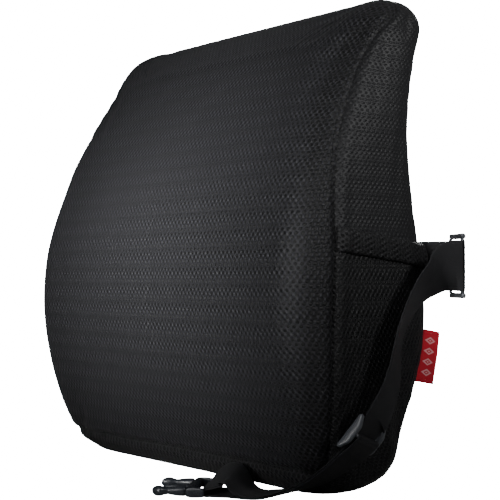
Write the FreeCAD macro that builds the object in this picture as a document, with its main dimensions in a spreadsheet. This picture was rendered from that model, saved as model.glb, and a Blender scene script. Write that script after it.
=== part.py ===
import FreeCAD, Part
import math
import os
import Sketcher

# Lumbar support cushion: a contoured foam core in a liner and a zipped mesh cover, with
# a webbing strap on each side that meets in a side-release buckle.
# +X is the cushion's right as seen from the front, +Y its back, +Z up. Millimetres.

V = FreeCAD.Vector
X_AXIS = V(1, 0, 0)
Z_AXIS = V(0, 0, 1)

doc = FreeCAD.newDocument("LumbarCushion")
sheet = doc.addObject("Spreadsheet::Sheet", "Sheet")

DRIVING = [
    # the cushion's form
    ("body_height", 380), ("half_width_bottom", 180), ("half_width_top", 175.5),
    ("half_width_bow", 11), ("corner_bottom", 36), ("corner_top", 28),
    ("edge_front", 32), ("edge_back", 20), ("heel_front", 16), ("heel_back", 38),
    ("shift_back", 5.45),
    # the layers, as depths below the cover's outer face
    ("cover_depth", 1.6), ("liner_outer", 2.1), ("liner_inner", 2.8), ("foam_depth", 3.0),
    # the cover's seams
    ("front_seam_height", 20), ("side_seam_inset", 12), ("zip_height", 48),
    ("zip_gap_half", 5.5), ("zip_opening_half", 134), ("tab_thick", 4), ("tab_height", 18),
    ("tab_centre", 184), ("tab_slope", 0.12), ("tab_reach", 6.5),
    # the zipper
    ("zip_tilt_deg", 17.5), ("tape_half", 138), ("tape_inner", 2.2), ("tape_outer", 13),
    ("tape_lift", 0.3), ("tape_thick", 0.6), ("tooth_pitch", 3), ("tooth_wide", 1.8),
    ("tooth_tall", 3), ("tooth_thick", 1.6), ("teeth_half", 120), ("slider_long", 10),
    ("slider_tall", 8.6), ("slider_plate", 1.1), ("slider_gap", 2.1), ("post_wide", 2),
    ("pull_long", 26), ("pull_wide", 7), ("pull_thick", 1.2), ("pull_pin", 0.9),
    # the webbing
    ("web_wide", 38), ("web_thick", 1.2), ("web_gap", 0.1),
    # the tri-glides
    ("glide_long", 28), ("glide_wide", 50), ("glide_inside", 39), ("glide_bar_long", 40),
    ("bar_radius", 1.1), ("bar_low", -1.3), ("bar_high", 3.7), ("bar_end", 12.4),
    ("rail_low", -2.5), ("rail_top", 5), ("rail_end_top", 0.8), ("rail_crown", 5),
    # the buckle plug and its arms
    ("plug_thick", 8), ("plug_wide", 47), ("plug_bar_back", -2), ("plug_rail_front", 6.5),
    ("plug_base_front", 12), ("tongue_front", 32), ("tongue_wide", 6), ("tongue_thick", 4),
    ("arm_long", 26), ("arm_root", 5), ("arm_gap", 0.3), ("arm_thick", 6.4),
    ("plug_bar_radius", 1.5), ("plug_floor", 0.2),
    # the buckle socket
    ("socket_long", 42), ("socket_wide", 50), ("socket_thick", 12), ("socket_wall", 2),
    ("socket_slot_long", 9), ("socket_solid", 4), ("window_long", 11), ("window_start", 6),
    # the side label
    ("label_tall", 41), ("label_out", 19), ("label_thick", 0.8),
]
FORM = [
    # height, front face, back face
    (0, -40, 41), (30, -57, 31), (76, -73, 43.5), (133, -82, 54), (190, -77.5, 47),
    (247, -57.5, 38.5), (304, -29.5, 43), (350, -3.5, 59.5), (380, 9, 71),
]

row = 0
for alias, number in DRIVING:
    row += 1
    sheet.set(f"A{row}", alias)
    sheet.set(f"B{row}", str(number))
    sheet.setAlias(f"B{row}", alias)
for index, station in enumerate(FORM):
    for word, number in zip(("height", "front", "back"), station):
        row += 1
        alias = f"form_{word}_{index}x"
        sheet.set(f"A{row}", alias)
        sheet.set(f"B{row}", str(number))
        sheet.setAlias(f"B{row}", alias)
doc.recompute()


def size(alias):
    return float(sheet.get(alias))


nodes = []


def sub_part(shape, label, placement=None):
    """A sub-part whose shape comes straight from code."""
    feature = doc.addObject("Part::Feature", label)
    feature.Label = label
    feature.Shape = shape
    if placement:
        feature.Placement = placement
    nodes.append(feature)
    return feature


def frame_at(origin, x_dir, z_dir):
    """A placement with its own X along x_dir and its own Z near z_dir."""
    x = V(x_dir).normalize()
    y = V(z_dir).cross(x).normalize()
    z = x.cross(y)
    return FreeCAD.Placement(FreeCAD.Matrix(
        x.x, y.x, z.x, origin.x,
        x.y, y.y, z.y, origin.y,
        x.z, y.z, z.z, origin.z,
        0, 0, 0, 1))


# ---------------------------------------------------------------- the cushion's form

HEIGHT = size("body_height")
WIDE = 400


def profile_curve(word):
    """The front or back face as a smooth curve over the height."""
    points = []
    heights = []
    for index in range(len(FORM)):
        height = size(f"form_height_{index}x")
        heights.append(height)
        points.append(V(height, size(f"form_{word}_{index}x") + size("shift_back"), 0))
    curve = Part.BSplineCurve()
    curve.interpolate(Points=points, Parameters=heights)
    return curve


front_curve = profile_curve("front")
back_curve = profile_curve("back")


def round_off(distance, radius):
    """How far a rounded edge of this radius has pulled in, this far from the end."""
    reach = max(0.0, 1 - distance / radius)
    return radius * (1 - math.sqrt(1 - 0.998 * reach * reach))


def half_width(height):
    share = height / HEIGHT
    width = size("half_width_bottom") * (1 - share) + size("half_width_top") * share
    width += size("half_width_bow") * 4 * share * (1 - share)
    width -= round_off(height, size("corner_bottom"))
    return width - round_off(HEIGHT - height, size("corner_top"))


def faces_at(height):
    """Front and back y of the form at a height, with its rounded heel and crown."""
    front = front_curve.value(height).y + round_off(height, size("heel_front"))
    back = back_curve.value(height).y - round_off(height, size("heel_back"))
    crown = (back_curve.value(HEIGHT).y - front_curve.value(HEIGHT).y) / 2
    reach = max(0.0, 1 - (HEIGHT - height) / crown)
    middle = (front + back) / 2
    half = (back - front) / 2 * math.sqrt(1 - 0.97 * reach * reach)
    return middle - half, middle + half


def section(height, inset):
    """The form's rounded-rectangle outline at a height, pulled in by inset."""
    front, back = faces_at(height)
    front += inset
    back -= inset
    side = half_width(height) - inset
    z = inset + height * (HEIGHT - 2 * inset) / HEIGHT
    deep = back - front
    rf = min(size("edge_front"), 0.52 * deep)
    rb = min(size("edge_back"), 0.34 * deep)
    cut = 1 - math.sqrt(0.5)
    corners = [
        (V(-side, front + rf, z), V(-side + cut * rf, front + cut * rf, z), V(-side + rf, front, z)),
        (V(side - rf, front, z), V(side - cut * rf, front + cut * rf, z), V(side, front + rf, z)),
        (V(side, back - rb, z), V(side - cut * rb, back - cut * rb, z), V(side - rb, back, z)),
        (V(-side + rb, back, z), V(-side + cut * rb, back - cut * rb, z), V(-side, back - rb, z)),
    ]
    edges = []
    for index, (start, middle, end) in enumerate(corners):
        edges.append(Part.Arc(start, middle, end).toShape())
        edges.append(Part.LineSegment(end, corners[(index + 1) % 4][0]).toShape())
    return Part.Wire(edges)


def levels(count=18):
    """Heights that crowd towards the rounded ends."""
    return [HEIGHT / 2 * (1 - math.cos(math.pi * i / count)) for i in range(count + 1)]


def form(inset):
    return Part.makeLoft([section(height, inset) for height in levels()], True, False)


def back_seam(height):
    """Where the back panel's side seam lies, on the right, at a height."""
    x = half_width(height) - size("side_seam_inset")
    radius = size("edge_back")
    run = radius - size("side_seam_inset")
    return V(x, faces_at(height)[1] - radius + math.sqrt(radius * radius - run * run), height)


def side_prism(points, low_x=-WIDE, high_x=WIDE):
    """A closed outline given as (y, z) points, run across the width."""
    corners = [V(low_x, y, z) for y, z in points]
    face = Part.Face(Part.makePolygon(corners + [corners[0]]))
    return face.extrude(V(high_x - low_x, 0, 0))


def flip(shape):
    """The same shape on the left."""
    return shape.mirror(V(0, 0, 0), X_AXIS)


outer = form(0)
cover = outer.cut(form(size("cover_depth")))
liner = form(size("liner_outer")).cut(form(size("liner_inner")))

# the seam between the front panel and the side strips, from the front corner to the crown
shift = size("shift_back")
seam_low = size("front_seam_height")
seam_points = [(-44, seam_low), (-50, 90), (-50, 182), (-41, 253), (-19, 307), (11, 349), (64, 392)]
seam_curve = Part.BSplineCurve()
seam_curve.interpolate([V(-WIDE, y + shift, z) for y, z in seam_points])
seam_start = seam_curve.StartPoint
seam_end = seam_curve.EndPoint
front_outline = Part.Wire([
    seam_curve.toShape(),
    Part.makeLine(seam_end, V(-WIDE, -WIDE, seam_end.z)),
    Part.makeLine(V(-WIDE, -WIDE, seam_end.z), V(-WIDE, -WIDE, seam_low)),
    Part.makeLine(V(-WIDE, -WIDE, seam_low), seam_start),
])
front_region = Part.Face(front_outline).extrude(V(2 * WIDE, 0, 0))

# the side strips reach this far in from the widest line, on the back and underneath
inset_edge = size("side_seam_inset")
strip_points = [V(half_width(height) - inset_edge, -WIDE, height) for height in levels()]
strip_curve = Part.BSplineCurve()
strip_curve.interpolate(strip_points)
strip_low = V(strip_points[0].x, -WIDE, -20)
strip_high = V(strip_points[-1].x, -WIDE, HEIGHT + 20)
right_outline = Part.Wire([
    Part.makeLine(strip_low, strip_points[0]),
    strip_curve.toShape(),
    Part.makeLine(strip_points[-1], strip_high),
    Part.makeLine(strip_high, V(WIDE, -WIDE, strip_high.z)),
    Part.makeLine(V(WIDE, -WIDE, strip_high.z), V(WIDE, -WIDE, strip_low.z)),
    Part.makeLine(V(WIDE, -WIDE, strip_low.z), strip_low),
])
right_region = Part.Face(right_outline).extrude(V(0, 2 * WIDE, 0))

rest = cover.cut(front_region)
right_strip = rest.common(right_region)
middle = rest.cut(right_region).cut(flip(right_region))

zip_z = size("zip_height")
zip_box = Part.makeBox(
    2 * size("zip_opening_half"), WIDE, 2 * size("zip_gap_half"),
    V(-size("zip_opening_half"), 0, zip_z - size("zip_gap_half")))
below_zip = Part.makeBox(2 * WIDE, 2 * WIDE, zip_z + 20, V(-WIDE, -WIDE, -20))


def tab_line(y):
    """Height of the side tab's middle at a depth."""
    return size("tab_centre") - size("tab_slope") * (y - shift)


above_tab = side_prism([
    (-WIDE, tab_line(-WIDE)), (WIDE, tab_line(WIDE)), (WIDE, WIDE + HEIGHT), (-WIDE, WIDE + HEIGHT)])
tab_half = size("tab_height") / 2
tab_front = -60
tab_back = 90
tab_band = side_prism([
    (tab_front, tab_line(tab_front) - tab_half), (tab_back, tab_line(tab_back) - tab_half),
    (tab_back, tab_line(tab_back) + tab_half), (tab_front, tab_line(tab_front) + tab_half)])

# Near the top the front seam runs round the corner, past the strip's own edge. The narrow
# pieces it leaves there belong to the strips.
above_zip = sorted(middle.cut(below_zip).cut(zip_box).Solids, key=lambda solid: solid.Volume)
corner_pieces = [solid for solid in above_zip[:-1] if solid.CenterOfMass.x > 0]

sub_part(form(size("foam_depth")), "foam_core")
sub_part(liner, "inner_liner")
sub_part(cover.common(front_region), "front_panel")
sub_part(above_zip[-1], "back_panel")
sub_part(middle.common(below_zip).cut(zip_box), "bottom_gusset")

upper_strip = right_strip.common(above_tab).fuse(corner_pieces)
lower_strip = right_strip.cut(above_tab)
tab_shell = form(-size("tab_thick")).cut(outer)
tab_edge = half_width(size("tab_centre")) - size("tab_reach")
tab_box = Part.makeBox(WIDE, 2 * WIDE, HEIGHT, V(tab_edge, -WIDE, 0))
right_tab = tab_shell.common(tab_band).common(tab_box).cut(front_region)
for side_name, place in (("right", lambda shape: shape), ("left", flip)):
    sub_part(place(upper_strip), f"{side_name}_side_panel_upper")
    sub_part(place(lower_strip), f"{side_name}_side_panel_lower")
    sub_part(place(right_tab), f"{side_name}_side_tab")

# ---------------------------------------------------------------- the zipper

tape_in = size("tape_inner")
tape_out = size("tape_outer")
tape_shell = form(-size("tape_lift") - size("tape_thick")).cut(form(-size("tape_lift")))
for name, low, high in (
    ("zipper_tape_upper", tape_in, tape_out), ("zipper_tape_lower", -tape_out, -tape_in)):
    strip = Part.makeBox(
        2 * size("tape_half"), WIDE, high - low, V(-size("tape_half"), 0, zip_z + low))
    sub_part(tape_shell.common(strip), name)

tilt = math.radians(size("zip_tilt_deg"))
zip_out = V(0, math.cos(tilt), -math.sin(tilt))
zip_up = V(0, math.sin(tilt), math.cos(tilt))
zip_origin = V(0, faces_at(zip_z)[1], zip_z)


def zip_block(x_low, x_wide, up_low, up_tall, out_low, out_thick):
    """A block lying along the zip: across, up the back, and out from it."""
    block = Part.makeBox(x_wide, up_tall, out_thick, V(x_low, up_low, out_low))
    block.Placement = frame_at(zip_origin, -X_AXIS, zip_out)
    return block


tooth_low = -0.2
teeth = []
tooth_count = int(2 * size("teeth_half") / size("tooth_pitch"))
for index in range(tooth_count):
    start = -size("teeth_half") + index * size("tooth_pitch")
    lean = 0.4 if index % 2 else -0.4
    teeth.append(zip_block(
        start, size("tooth_wide"), lean - size("tooth_tall") / 2, size("tooth_tall"),
        tooth_low, size("tooth_thick")))
sub_part(Part.makeCompound(teeth), "zipper_teeth")

# One stop lies just past the chain's open end, the other just past the closed slider.
# The blocks' own X runs the other way, so the closed end is at negative numbers here.
STOP_LONG = 2.4
STOP_TALL = 3.8
closed_stop = -size("teeth_half") - size("slider_long") - 1.4 - STOP_LONG
open_stop = size("teeth_half") + 1.5
stops = [
    zip_block(x, STOP_LONG, -STOP_TALL / 2, STOP_TALL, tooth_low, size("tooth_thick") + 0.3)
    for x in (closed_stop, open_stop)]
sub_part(Part.makeCompound(stops), "zipper_stops")

# The slider rests at the closed end. Its block holds the chain between two plates.
slider_x = size("teeth_half") + 0.6
slider = doc.addObject("PartDesign::Body", "zipper_slider")
slider.Label = "zipper_slider"


def role_plane(body, role):
    for item in body.Origin.OriginFeatures:
        if item.Role == role:
            return item
    raise ValueError(role)


def new_sketch(body, name, role):
    sketch = body.newObject("Sketcher::SketchObject", name)
    sketch.AttachmentSupport = (role_plane(body, role), "")
    sketch.MapMode = "FlatFace"
    doc.recompute()
    return sketch


def polygon(body, name, role, corners):
    """A closed sketch whose corners are pairs of expressions on the sheet."""
    sketch = new_sketch(body, name, role)
    places = [[float(sketch.evalExpression(word)) for word in corner] for corner in corners]
    count = len(corners)
    for index in range(count):
        start = V(*places[index], 0)
        end = V(*places[(index + 1) % count], 0)
        sketch.addGeometry(Part.LineSegment(start, end))
    for index in range(count):
        sketch.addConstraint(Sketcher.Constraint("Coincident", index, 2, (index + 1) % count, 1))
    for index in range(count):
        for kind, word, value in zip(("DistanceX", "DistanceY"), corners[index], places[index]):
            number = sketch.addConstraint(Sketcher.Constraint(kind, -1, 1, index, 1, value))
            sketch.setExpression(f"Constraints[{number}]", word)
    return sketch


def box_corners(left, right, low, high):
    return [(left, low), (right, low), (right, high), (left, high)]


def circle(body, name, role, across, up, radius):
    """A round sketch centred at two expressions."""
    sketch = new_sketch(body, name, role)
    centre = V(float(sketch.evalExpression(across)), float(sketch.evalExpression(up)), 0)
    sketch.addGeometry(Part.Circle(centre, Z_AXIS, float(sketch.evalExpression(radius))))
    for kind, word, value in (("DistanceX", across, centre.x), ("DistanceY", up, centre.y)):
        number = sketch.addConstraint(Sketcher.Constraint(kind, -1, 1, 0, 3, value))
        sketch.setExpression(f"Constraints[{number}]", word)
    number = sketch.addConstraint(Sketcher.Constraint("Radius", 0, float(sketch.evalExpression(radius))))
    sketch.setExpression(f"Constraints[{number}]", radius)
    return sketch


def pad(body, sketch, length, centred=True):
    feature = body.newObject("PartDesign::Pad", sketch.Name + "_pad")
    feature.Profile = sketch
    feature.Midplane = centred
    feature.setExpression("Length", length)
    doc.recompute()
    return feature


def pocket(body, sketch, length):
    """A cut to both sides of its sketch, checked to take material away."""
    before = body.Shape.Volume
    feature = body.newObject("PartDesign::Pocket", sketch.Name + "_cut")
    feature.Profile = sketch
    feature.Midplane = True
    feature.setExpression("Length", length)
    doc.recompute()
    if body.Shape.Volume >= before:
        raise ValueError(f"{sketch.Name} cuts nothing")
    return feature


def new_body(label, placement):
    body = doc.addObject("PartDesign::Body", label)
    body.Label = label
    body.Placement = placement
    nodes.append(body)
    return body


S = "Sheet."
nodes.append(slider)
slider_frame = frame_at(zip_origin + V(slider_x + size("slider_long") / 2, 0, 0), -X_AXIS, zip_out)
slider.Placement = slider_frame
half_long = S + "slider_long/2"
half_tall = S + "slider_tall/2"
plate_top = f"{S}slider_gap+{S}slider_plate"
pad(slider, polygon(slider, "slider_outer_plate", "XZ_Plane",
                    box_corners("-" + half_long, half_long, S + "slider_gap-0.3", plate_top)),
    S + "slider_tall")
pad(slider, polygon(slider, "slider_inner_plate", "XZ_Plane",
                    box_corners("-" + half_long, half_long, "-1.7", "-0.8")),
    S + "slider_tall-1")
pad(slider, polygon(slider, "slider_post", "XZ_Plane",
                    box_corners(f"-{half_long}+0.6", f"-{half_long}+3.4", "-1.2", S + "slider_gap")),
    S + "post_wide")
# a low bridge over the outer plate, which the pull's pin passes under
pad(slider, polygon(slider, "slider_bridge", "YZ_Plane",
                    box_corners("-2.8", "2.8", f"{plate_top}-0.1", f"{plate_top}+3.1")), "2.4")
pocket(slider, polygon(slider, "slider_bridge_eye", "YZ_Plane",
                       box_corners("-1.8", "1.8", f"{plate_top}+0", f"{plate_top}+2.4")), "6")

# The pull hangs from its own pin, which lies along the zip under the slider's bridge.
PULL_OUT = size("slider_gap") + size("slider_plate") + 1.2
pull_pin_at = zip_origin + V(slider_x + size("slider_long") / 2, 0, 0) + zip_out * PULL_OUT
pull_frame = frame_at(pull_pin_at, X_AXIS, V(0, 1, 0))
pull = new_body("zipper_pull", pull_frame)
half_pull = S + "pull_wide/2"
pull_half_thick = S + "pull_thick/2"
pad(pull, polygon(pull, "pull_plate", "XY_Plane", [
    (f"-{half_pull}", "-1.0"), (half_pull, "-1.0"), (half_pull, f"-0+{S}pull_long-6"),
    (f"{half_pull}-1.6", f"{S}pull_long-2"), (f"-{half_pull}+1.6", f"{S}pull_long-2"),
    (f"-{half_pull}", f"{S}pull_long-6")]), S + "pull_thick")
pocket(pull, polygon(pull, "pull_eye", "XY_Plane",
                     box_corners("-2.4", "2.4", "-2.4", "4.2")), "6")
pad(pull, circle(pull, "pull_pin_round", "YZ_Plane", "-0.1", "0", S + "pull_pin/1.3"), "4.9")

# ---------------------------------------------------------------- webbing


def ribbon(stations, width, thick):
    """A flat strap through (x, y, z, across x, y, z) stations, as one ruled solid."""
    points = [V(*item[:3]) for item in stations]
    wires = []
    last = len(points) - 1
    for index, item in enumerate(stations):
        before = points[max(index - 1, 0)]
        after = points[min(index + 1, last)]
        along = (after - before).normalize()
        across = V(*item[3:])
        across = (across - along * across.dot(along)).normalize()
        up = along.cross(across)
        half_w = across * (width / 2)
        half_t = up * (thick / 2)
        corners = [
            points[index] + half_w + half_t, points[index] - half_w + half_t,
            points[index] - half_w - half_t, points[index] + half_w - half_t]
        wires.append(Part.makePolygon(corners + [corners[0]]))
    solid = Part.makeLoft(wires, True, True)
    length = sum((b - a).Length for a, b in zip(points, points[1:]))
    expected = length * width * thick
    if not 0.9 < solid.Volume / expected < 1.1:
        raise ValueError(f"a strap's solid is {solid.Volume / expected:.2f} of its section times length")
    return solid, length


WEB_WIDE = size("web_wide")
WEB_THICK = size("web_thick")
BAR_RADIUS = size("bar_radius")
EYE_INNER = BAR_RADIUS + size("web_gap")
EYE_MIDDLE = EYE_INNER + WEB_THICK / 2


def eye(centre, axis, inner=EYE_INNER):
    """The webbing's sewn loop round a bar."""
    start = centre - axis * (WEB_WIDE / 2)
    outside = Part.makeCylinder(inner + WEB_THICK, WEB_WIDE, start, axis)
    return outside.cut(Part.makeCylinder(inner, WEB_WIDE, start, axis))


def leave_eye(centre, axis, towards, inner=EYE_INNER, side=1):
    """The point on the loop where webbing leaves in a direction, on one side of the bar."""
    return centre + towards.cross(axis).normalize() * (side * (inner + WEB_THICK / 2))


def strap_solid(stations, eyes):
    band, length = ribbon(stations, WEB_WIDE, WEB_THICK)
    for loop in eyes:
        band = band.fuse(loop)
    return band.removeSplitter(), length


def build_glide(label, placement):
    """A tri-glide: two arched rails, two low end bars and one raised middle bar."""
    body = new_body(label, placement)
    end = S + "glide_long/2"
    crown = S + "rail_crown"
    pad(body, polygon(body, label + "_rails", "XZ_Plane", [
        ("-" + end, S + "rail_low"), (end, S + "rail_low"), (end, S + "rail_end_top"),
        (crown, S + "rail_top"), ("-" + crown, S + "rail_top"), ("-" + end, S + "rail_end_top")]),
        S + "glide_wide")
    inside = S + "glide_inside/2"
    pocket(body, polygon(body, label + "_inside", "XY_Plane", box_corners(
        f"-{end}-1", f"{end}+1", "-" + inside, inside)), "40")
    for name, place, height in (
        ("back", f"-{S}bar_end", S + "bar_low"), ("middle", "0", S + "bar_high"),
        ("front", S + "bar_end", S + "bar_low")):
        pad(body, circle(body, f"{label}_{name}_bar", "XZ_Plane", place, height, S + "bar_radius"),
            S + "glide_bar_long")
    return body


def local(placement, x, y, z):
    return placement.multVec(V(x, y, z))


BAR_END = size("bar_end")
BAR_LOW = size("bar_low")
BAR_HIGH = size("bar_high")

# the right upper tri-glide stands behind the cushion's right edge, its bars upright
hold_z = 171
right_glide_frame = frame_at(V(208, 59 + shift, hold_z), V(0.87, -0.5, 0), V(0.5, 0.87, 0))
build_glide("right_upper_glide", right_glide_frame)
left_glide_frame = frame_at(V(-203, 73 + shift, hold_z), V(-0.34, 0.94, 0), V(0.94, 0.34, 0))
build_glide("left_upper_glide", left_glide_frame)


anchor_y = faces_at(hold_z)[1] + WEB_THICK / 2 + 0.35


def anchor(side, glide_frame, loop_side):
    """The short sewn webbing: flat on the back beside the seam, then round a glide's bar."""
    bar = local(glide_frame, -BAR_END, 0, BAR_LOW)
    lean = V(0, -0.156, 0.988)
    flat = [(163, 0), (169, 0), (175, 0), (179, 0.8), (184, 3)]
    stations = [(side * x, anchor_y + y, hold_z, *lean) for x, y in flat]
    start = V(*stations[-1][:3])
    end = leave_eye(bar, Z_AXIS, (bar - start).normalize(), side=loop_side)
    half_way = (start + end) / 2
    stations.append((*half_way, 0, -0.06, 1))
    stations.append((*end, 0, 0, 1))
    return strap_solid(stations, [eye(bar, Z_AXIS)])


right_anchor, right_anchor_length = anchor(1, right_glide_frame, 1)
left_anchor, left_anchor_length = anchor(-1, left_glide_frame, -1)
sub_part(right_anchor, "right_anchor_webbing")
sub_part(left_anchor, "left_anchor_webbing")

tack_lift = WEB_THICK / 2 + 0.05 + 0.4
tacks = []
for side in (1, -1):
    patch = [(side * x, anchor_y + tack_lift, hold_z, 0, -0.156, 0.988) for x in (164, 169, 174)]
    tacks.append(ribbon(patch, WEB_WIDE - 4, 0.8)[0])
sub_part(Part.makeCompound(tacks), "bar_tacks")

# The long right strap: from the upper glide's near bar, down past the side panel, through
# the lower glide, round the cushion's front corner and along the floor to the plug.
near_bar = local(right_glide_frame, BAR_END, 0, BAR_LOW)
first_heading = V(-0.55, -0.83, 0)
strap_start = leave_eye(near_bar, Z_AXIS, first_heading, side=-1)


def leaving(reach):
    """A station on the strap's straight start, between the upper glide's rails."""
    return (*(strap_start + V(first_heading).normalize() * reach), 0, 0, 1)


LOWER_GLIDE_AT = V(201.7, -35.7 + shift, 49.8)
LOWER_ALONG = V(-0.417, -0.452, -0.795).normalize()
LOWER_ACROSS = V(0.36, -0.885, 0.29)
STRAIGHT_HALF = 17
RAIL_CLEAR = 14.8


def on_glide(reach):
    """A station on the straight run through the lower glide."""
    return (*(LOWER_GLIDE_AT + LOWER_ALONG * reach), *LOWER_ACROSS)



# the plug lies on the floor, pointing out to the front left
PLUG_ALONG = V(-0.74, -0.67, 0).normalize()
PLUG_ACROSS = Z_AXIS.cross(PLUG_ALONG)
PLUG_EYE = size("plug_bar_radius") + size("web_gap")
plug_bar_z = PLUG_EYE + WEB_THICK + 0.05
plug_bar = V(84, -84 + shift, plug_bar_z)
floor_z = WEB_THICK / 2 + 0.05
eye_radius = PLUG_EYE + WEB_THICK / 2


def behind_plug(reach, height):
    """A point over the floor, this far back along the plug's line from its bar."""
    spot = plug_bar - PLUG_ALONG * reach
    return (spot.x, spot.y, height, *PLUG_ACROSS)


right_stations = [
    leaving(0),
    leaving(2),
    (214.8, 44.55 + shift, 170.9, 0.03, -0.04, 1),
    (211.6, 38.55 + shift, 168.2, 0.22, -0.3, 0.93),
    (208.5, 33.5 + shift, 163.5, 0.4, -0.52, 0.75),
    (205, 24 + shift, 156, 0.5, -0.66, 0.55),
    (203, 16 + shift, 146, 0.55, -0.72, 0.42),
    (202.2, 9.5 + shift, 136, 0.58, -0.75, 0.35),
    (202, 3.7 + shift, 126, 0.6, -0.75, 0.29),
    (202, -0.5 + shift, 114, 0.58, -0.78, 0.21),
    (202, -2.7 + shift, 102, 0.53, -0.83, 0.15),
    (202, -4.9 + shift, 90, 0.45, -0.87, 0.18),
    (205.5, -14 + shift, 76.5, 0.43, -0.86, 0.26),
    on_glide(-STRAIGHT_HALF),
    on_glide(-RAIL_CLEAR),
    on_glide(0),
    on_glide(RAIL_CLEAR),
    on_glide(STRAIGHT_HALF),
    (185.5, -52.5 + shift, 26, 0.4, -0.9, 0.2),
    (173.5, -58.5 + shift, 17, 0.35, -0.93, 0.12),
    (157, -62.5 + shift, 10.5, 0.3, -0.95, 0.05),
    (140, -65.5 + shift, 5.5, 0.3, -0.95, 0),
    (127, -67.5 + shift, 4.2, 0.38, -0.92, 0),
    (114, -69 + shift, 3.6, 0.55, -0.83, 0),
    (103, -70 + shift, 7.5, 0.64, -0.77, 0),
    behind_plug(16, 17.5),
    behind_plug(8, 14),
    behind_plug(0, plug_bar_z + eye_radius),
]
GLIDE_STATION = 15
FLAT_END = 24
right_strap, right_strap_length = strap_solid(
    right_stations, [eye(near_bar, Z_AXIS), eye(plug_bar, PLUG_ACROSS, PLUG_EYE)])
sub_part(right_strap, "right_strap")

lower_up = LOWER_ALONG.cross(LOWER_ACROSS).normalize()
lower_side = -1 if lower_up.dot(V(0.77, -0.64, 0)) < 0 else 1
lower_up = lower_up * lower_side
lower_frame = frame_at(LOWER_GLIDE_AT - lower_up * (WEB_THICK / 2), LOWER_ALONG, lower_up)
build_glide("lower_glide", lower_frame)

# The end of the same webbing comes back from the plug, along the floor under the strap
# and up its outer side, to the lower glide's raised bar.
lower_across = lower_frame.Rotation.multVec(V(0, 1, 0))
high_bar = local(lower_frame, 0, 0, BAR_HIGH)
return_end = high_bar + lower_up * EYE_MIDDLE
layer = WEB_THICK + size("web_gap")


def beside_strap(index, lift=layer):
    """A station lying on the outer side of the strap's own."""
    station = right_stations[index]
    before = V(*right_stations[index - 1][:3])
    after = V(*right_stations[index + 1][:3])
    along = (after - before).normalize()
    across = V(*station[3:])
    across = (across - along * across.dot(along)).normalize()
    up = along.cross(across) * lower_side
    return (*(V(*station[:3]) + up * lift), *station[3:])


return_stations = [
    behind_plug(0, floor_z), behind_plug(14, floor_z), (103, -70 + shift, floor_z + 0.7, 0.64, -0.77, 0)]
for index in range(FLAT_END - 1, GLIDE_STATION + 1, -1):
    return_stations.append(beside_strap(index, layer + 0.15))
slope_point = LOWER_GLIDE_AT + LOWER_ALONG * 13 + lower_up * (layer + 1.6)
return_stations.append((*slope_point, *LOWER_ACROSS))
return_stations.append((*return_end, *LOWER_ACROSS))
strap_return, return_length = strap_solid(return_stations, [eye(high_bar, lower_across)])
under_layer = max(strap_return.cut(right_strap).Solids, key=lambda solid: solid.Volume)
sub_part(under_layer, "strap_return")

# The left strap hangs from its own glide, down behind the cushion's left edge.
left_bar = local(left_glide_frame, BAR_END, 0, BAR_LOW)
left_start = leave_eye(left_bar, Z_AXIS, V(0, 1, 0), side=1)
socket_bar_z = 98
socket_across = X_AXIS
socket_side = socket_across.cross(Z_AXIS)
hang = V(left_start.x, left_start.y + 22, socket_bar_z)
socket_bar = hang - socket_side * eye_radius
left_stations = [
    (*left_start, 0, 0, 1),
    (left_start.x - 0.4, left_start.y + 4, hold_z, 0, 0, 1),
    (left_start.x - 1, left_start.y + 9, hold_z - 1.5, 0.25, 0, 0.97),
    (left_start.x - 1.5, left_start.y + 15, hold_z - 6, 0.6, 0, 0.78),
    (left_start.x - 1, left_start.y + 20, hold_z - 17, 0.85, 0, 0.45),
    (left_start.x, left_start.y + 21.5, hold_z - 33, 0.97, 0, 0.15),
    (hang.x, hang.y, hold_z - 51, *socket_across),
    (*hang, *socket_across),
]
left_strap, left_strap_length = strap_solid(
    left_stations, [eye(left_bar, Z_AXIS), eye(socket_bar, socket_across, PLUG_EYE)])
sub_part(left_strap, "left_strap")

# ---------------------------------------------------------------- the buckle

# The plug's own X runs to its tips, its Z up; its strap bar is at the origin.
plug_frame = frame_at(plug_bar, PLUG_ALONG, Z_AXIS)
plug = new_body("buckle_plug", plug_frame)
half_plug = S + "plug_wide/2"
plug_low = f"-{plug_bar_z}+{S}plug_floor"
plug_high = f"{plug_low}+{S}plug_thick"
pad(plug, polygon(plug, "plug_rails", "XZ_Plane", box_corners(
    S + "plug_bar_back", S + "plug_base_front", plug_low, plug_high)), S + "plug_wide")
pocket(plug, polygon(plug, "plug_slot", "XY_Plane", box_corners(
    f"{S}plug_bar_back-1", S + "plug_rail_front", f"-{S}glide_inside/2", S + "glide_inside/2")), "40")
pad(plug, circle(plug, "plug_strap_bar", "XZ_Plane", "0", "0", S + "plug_bar_radius"),
    S + "glide_bar_long")
tongue_low = f"{plug_low}+({S}plug_thick-{S}tongue_thick)/2"
pad(plug, polygon(plug, "plug_tongue", "XZ_Plane", box_corners(
    f"{S}plug_base_front-1", S + "tongue_front", tongue_low, f"{tongue_low}+{S}tongue_thick")),
    S + "tongue_wide")

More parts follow.
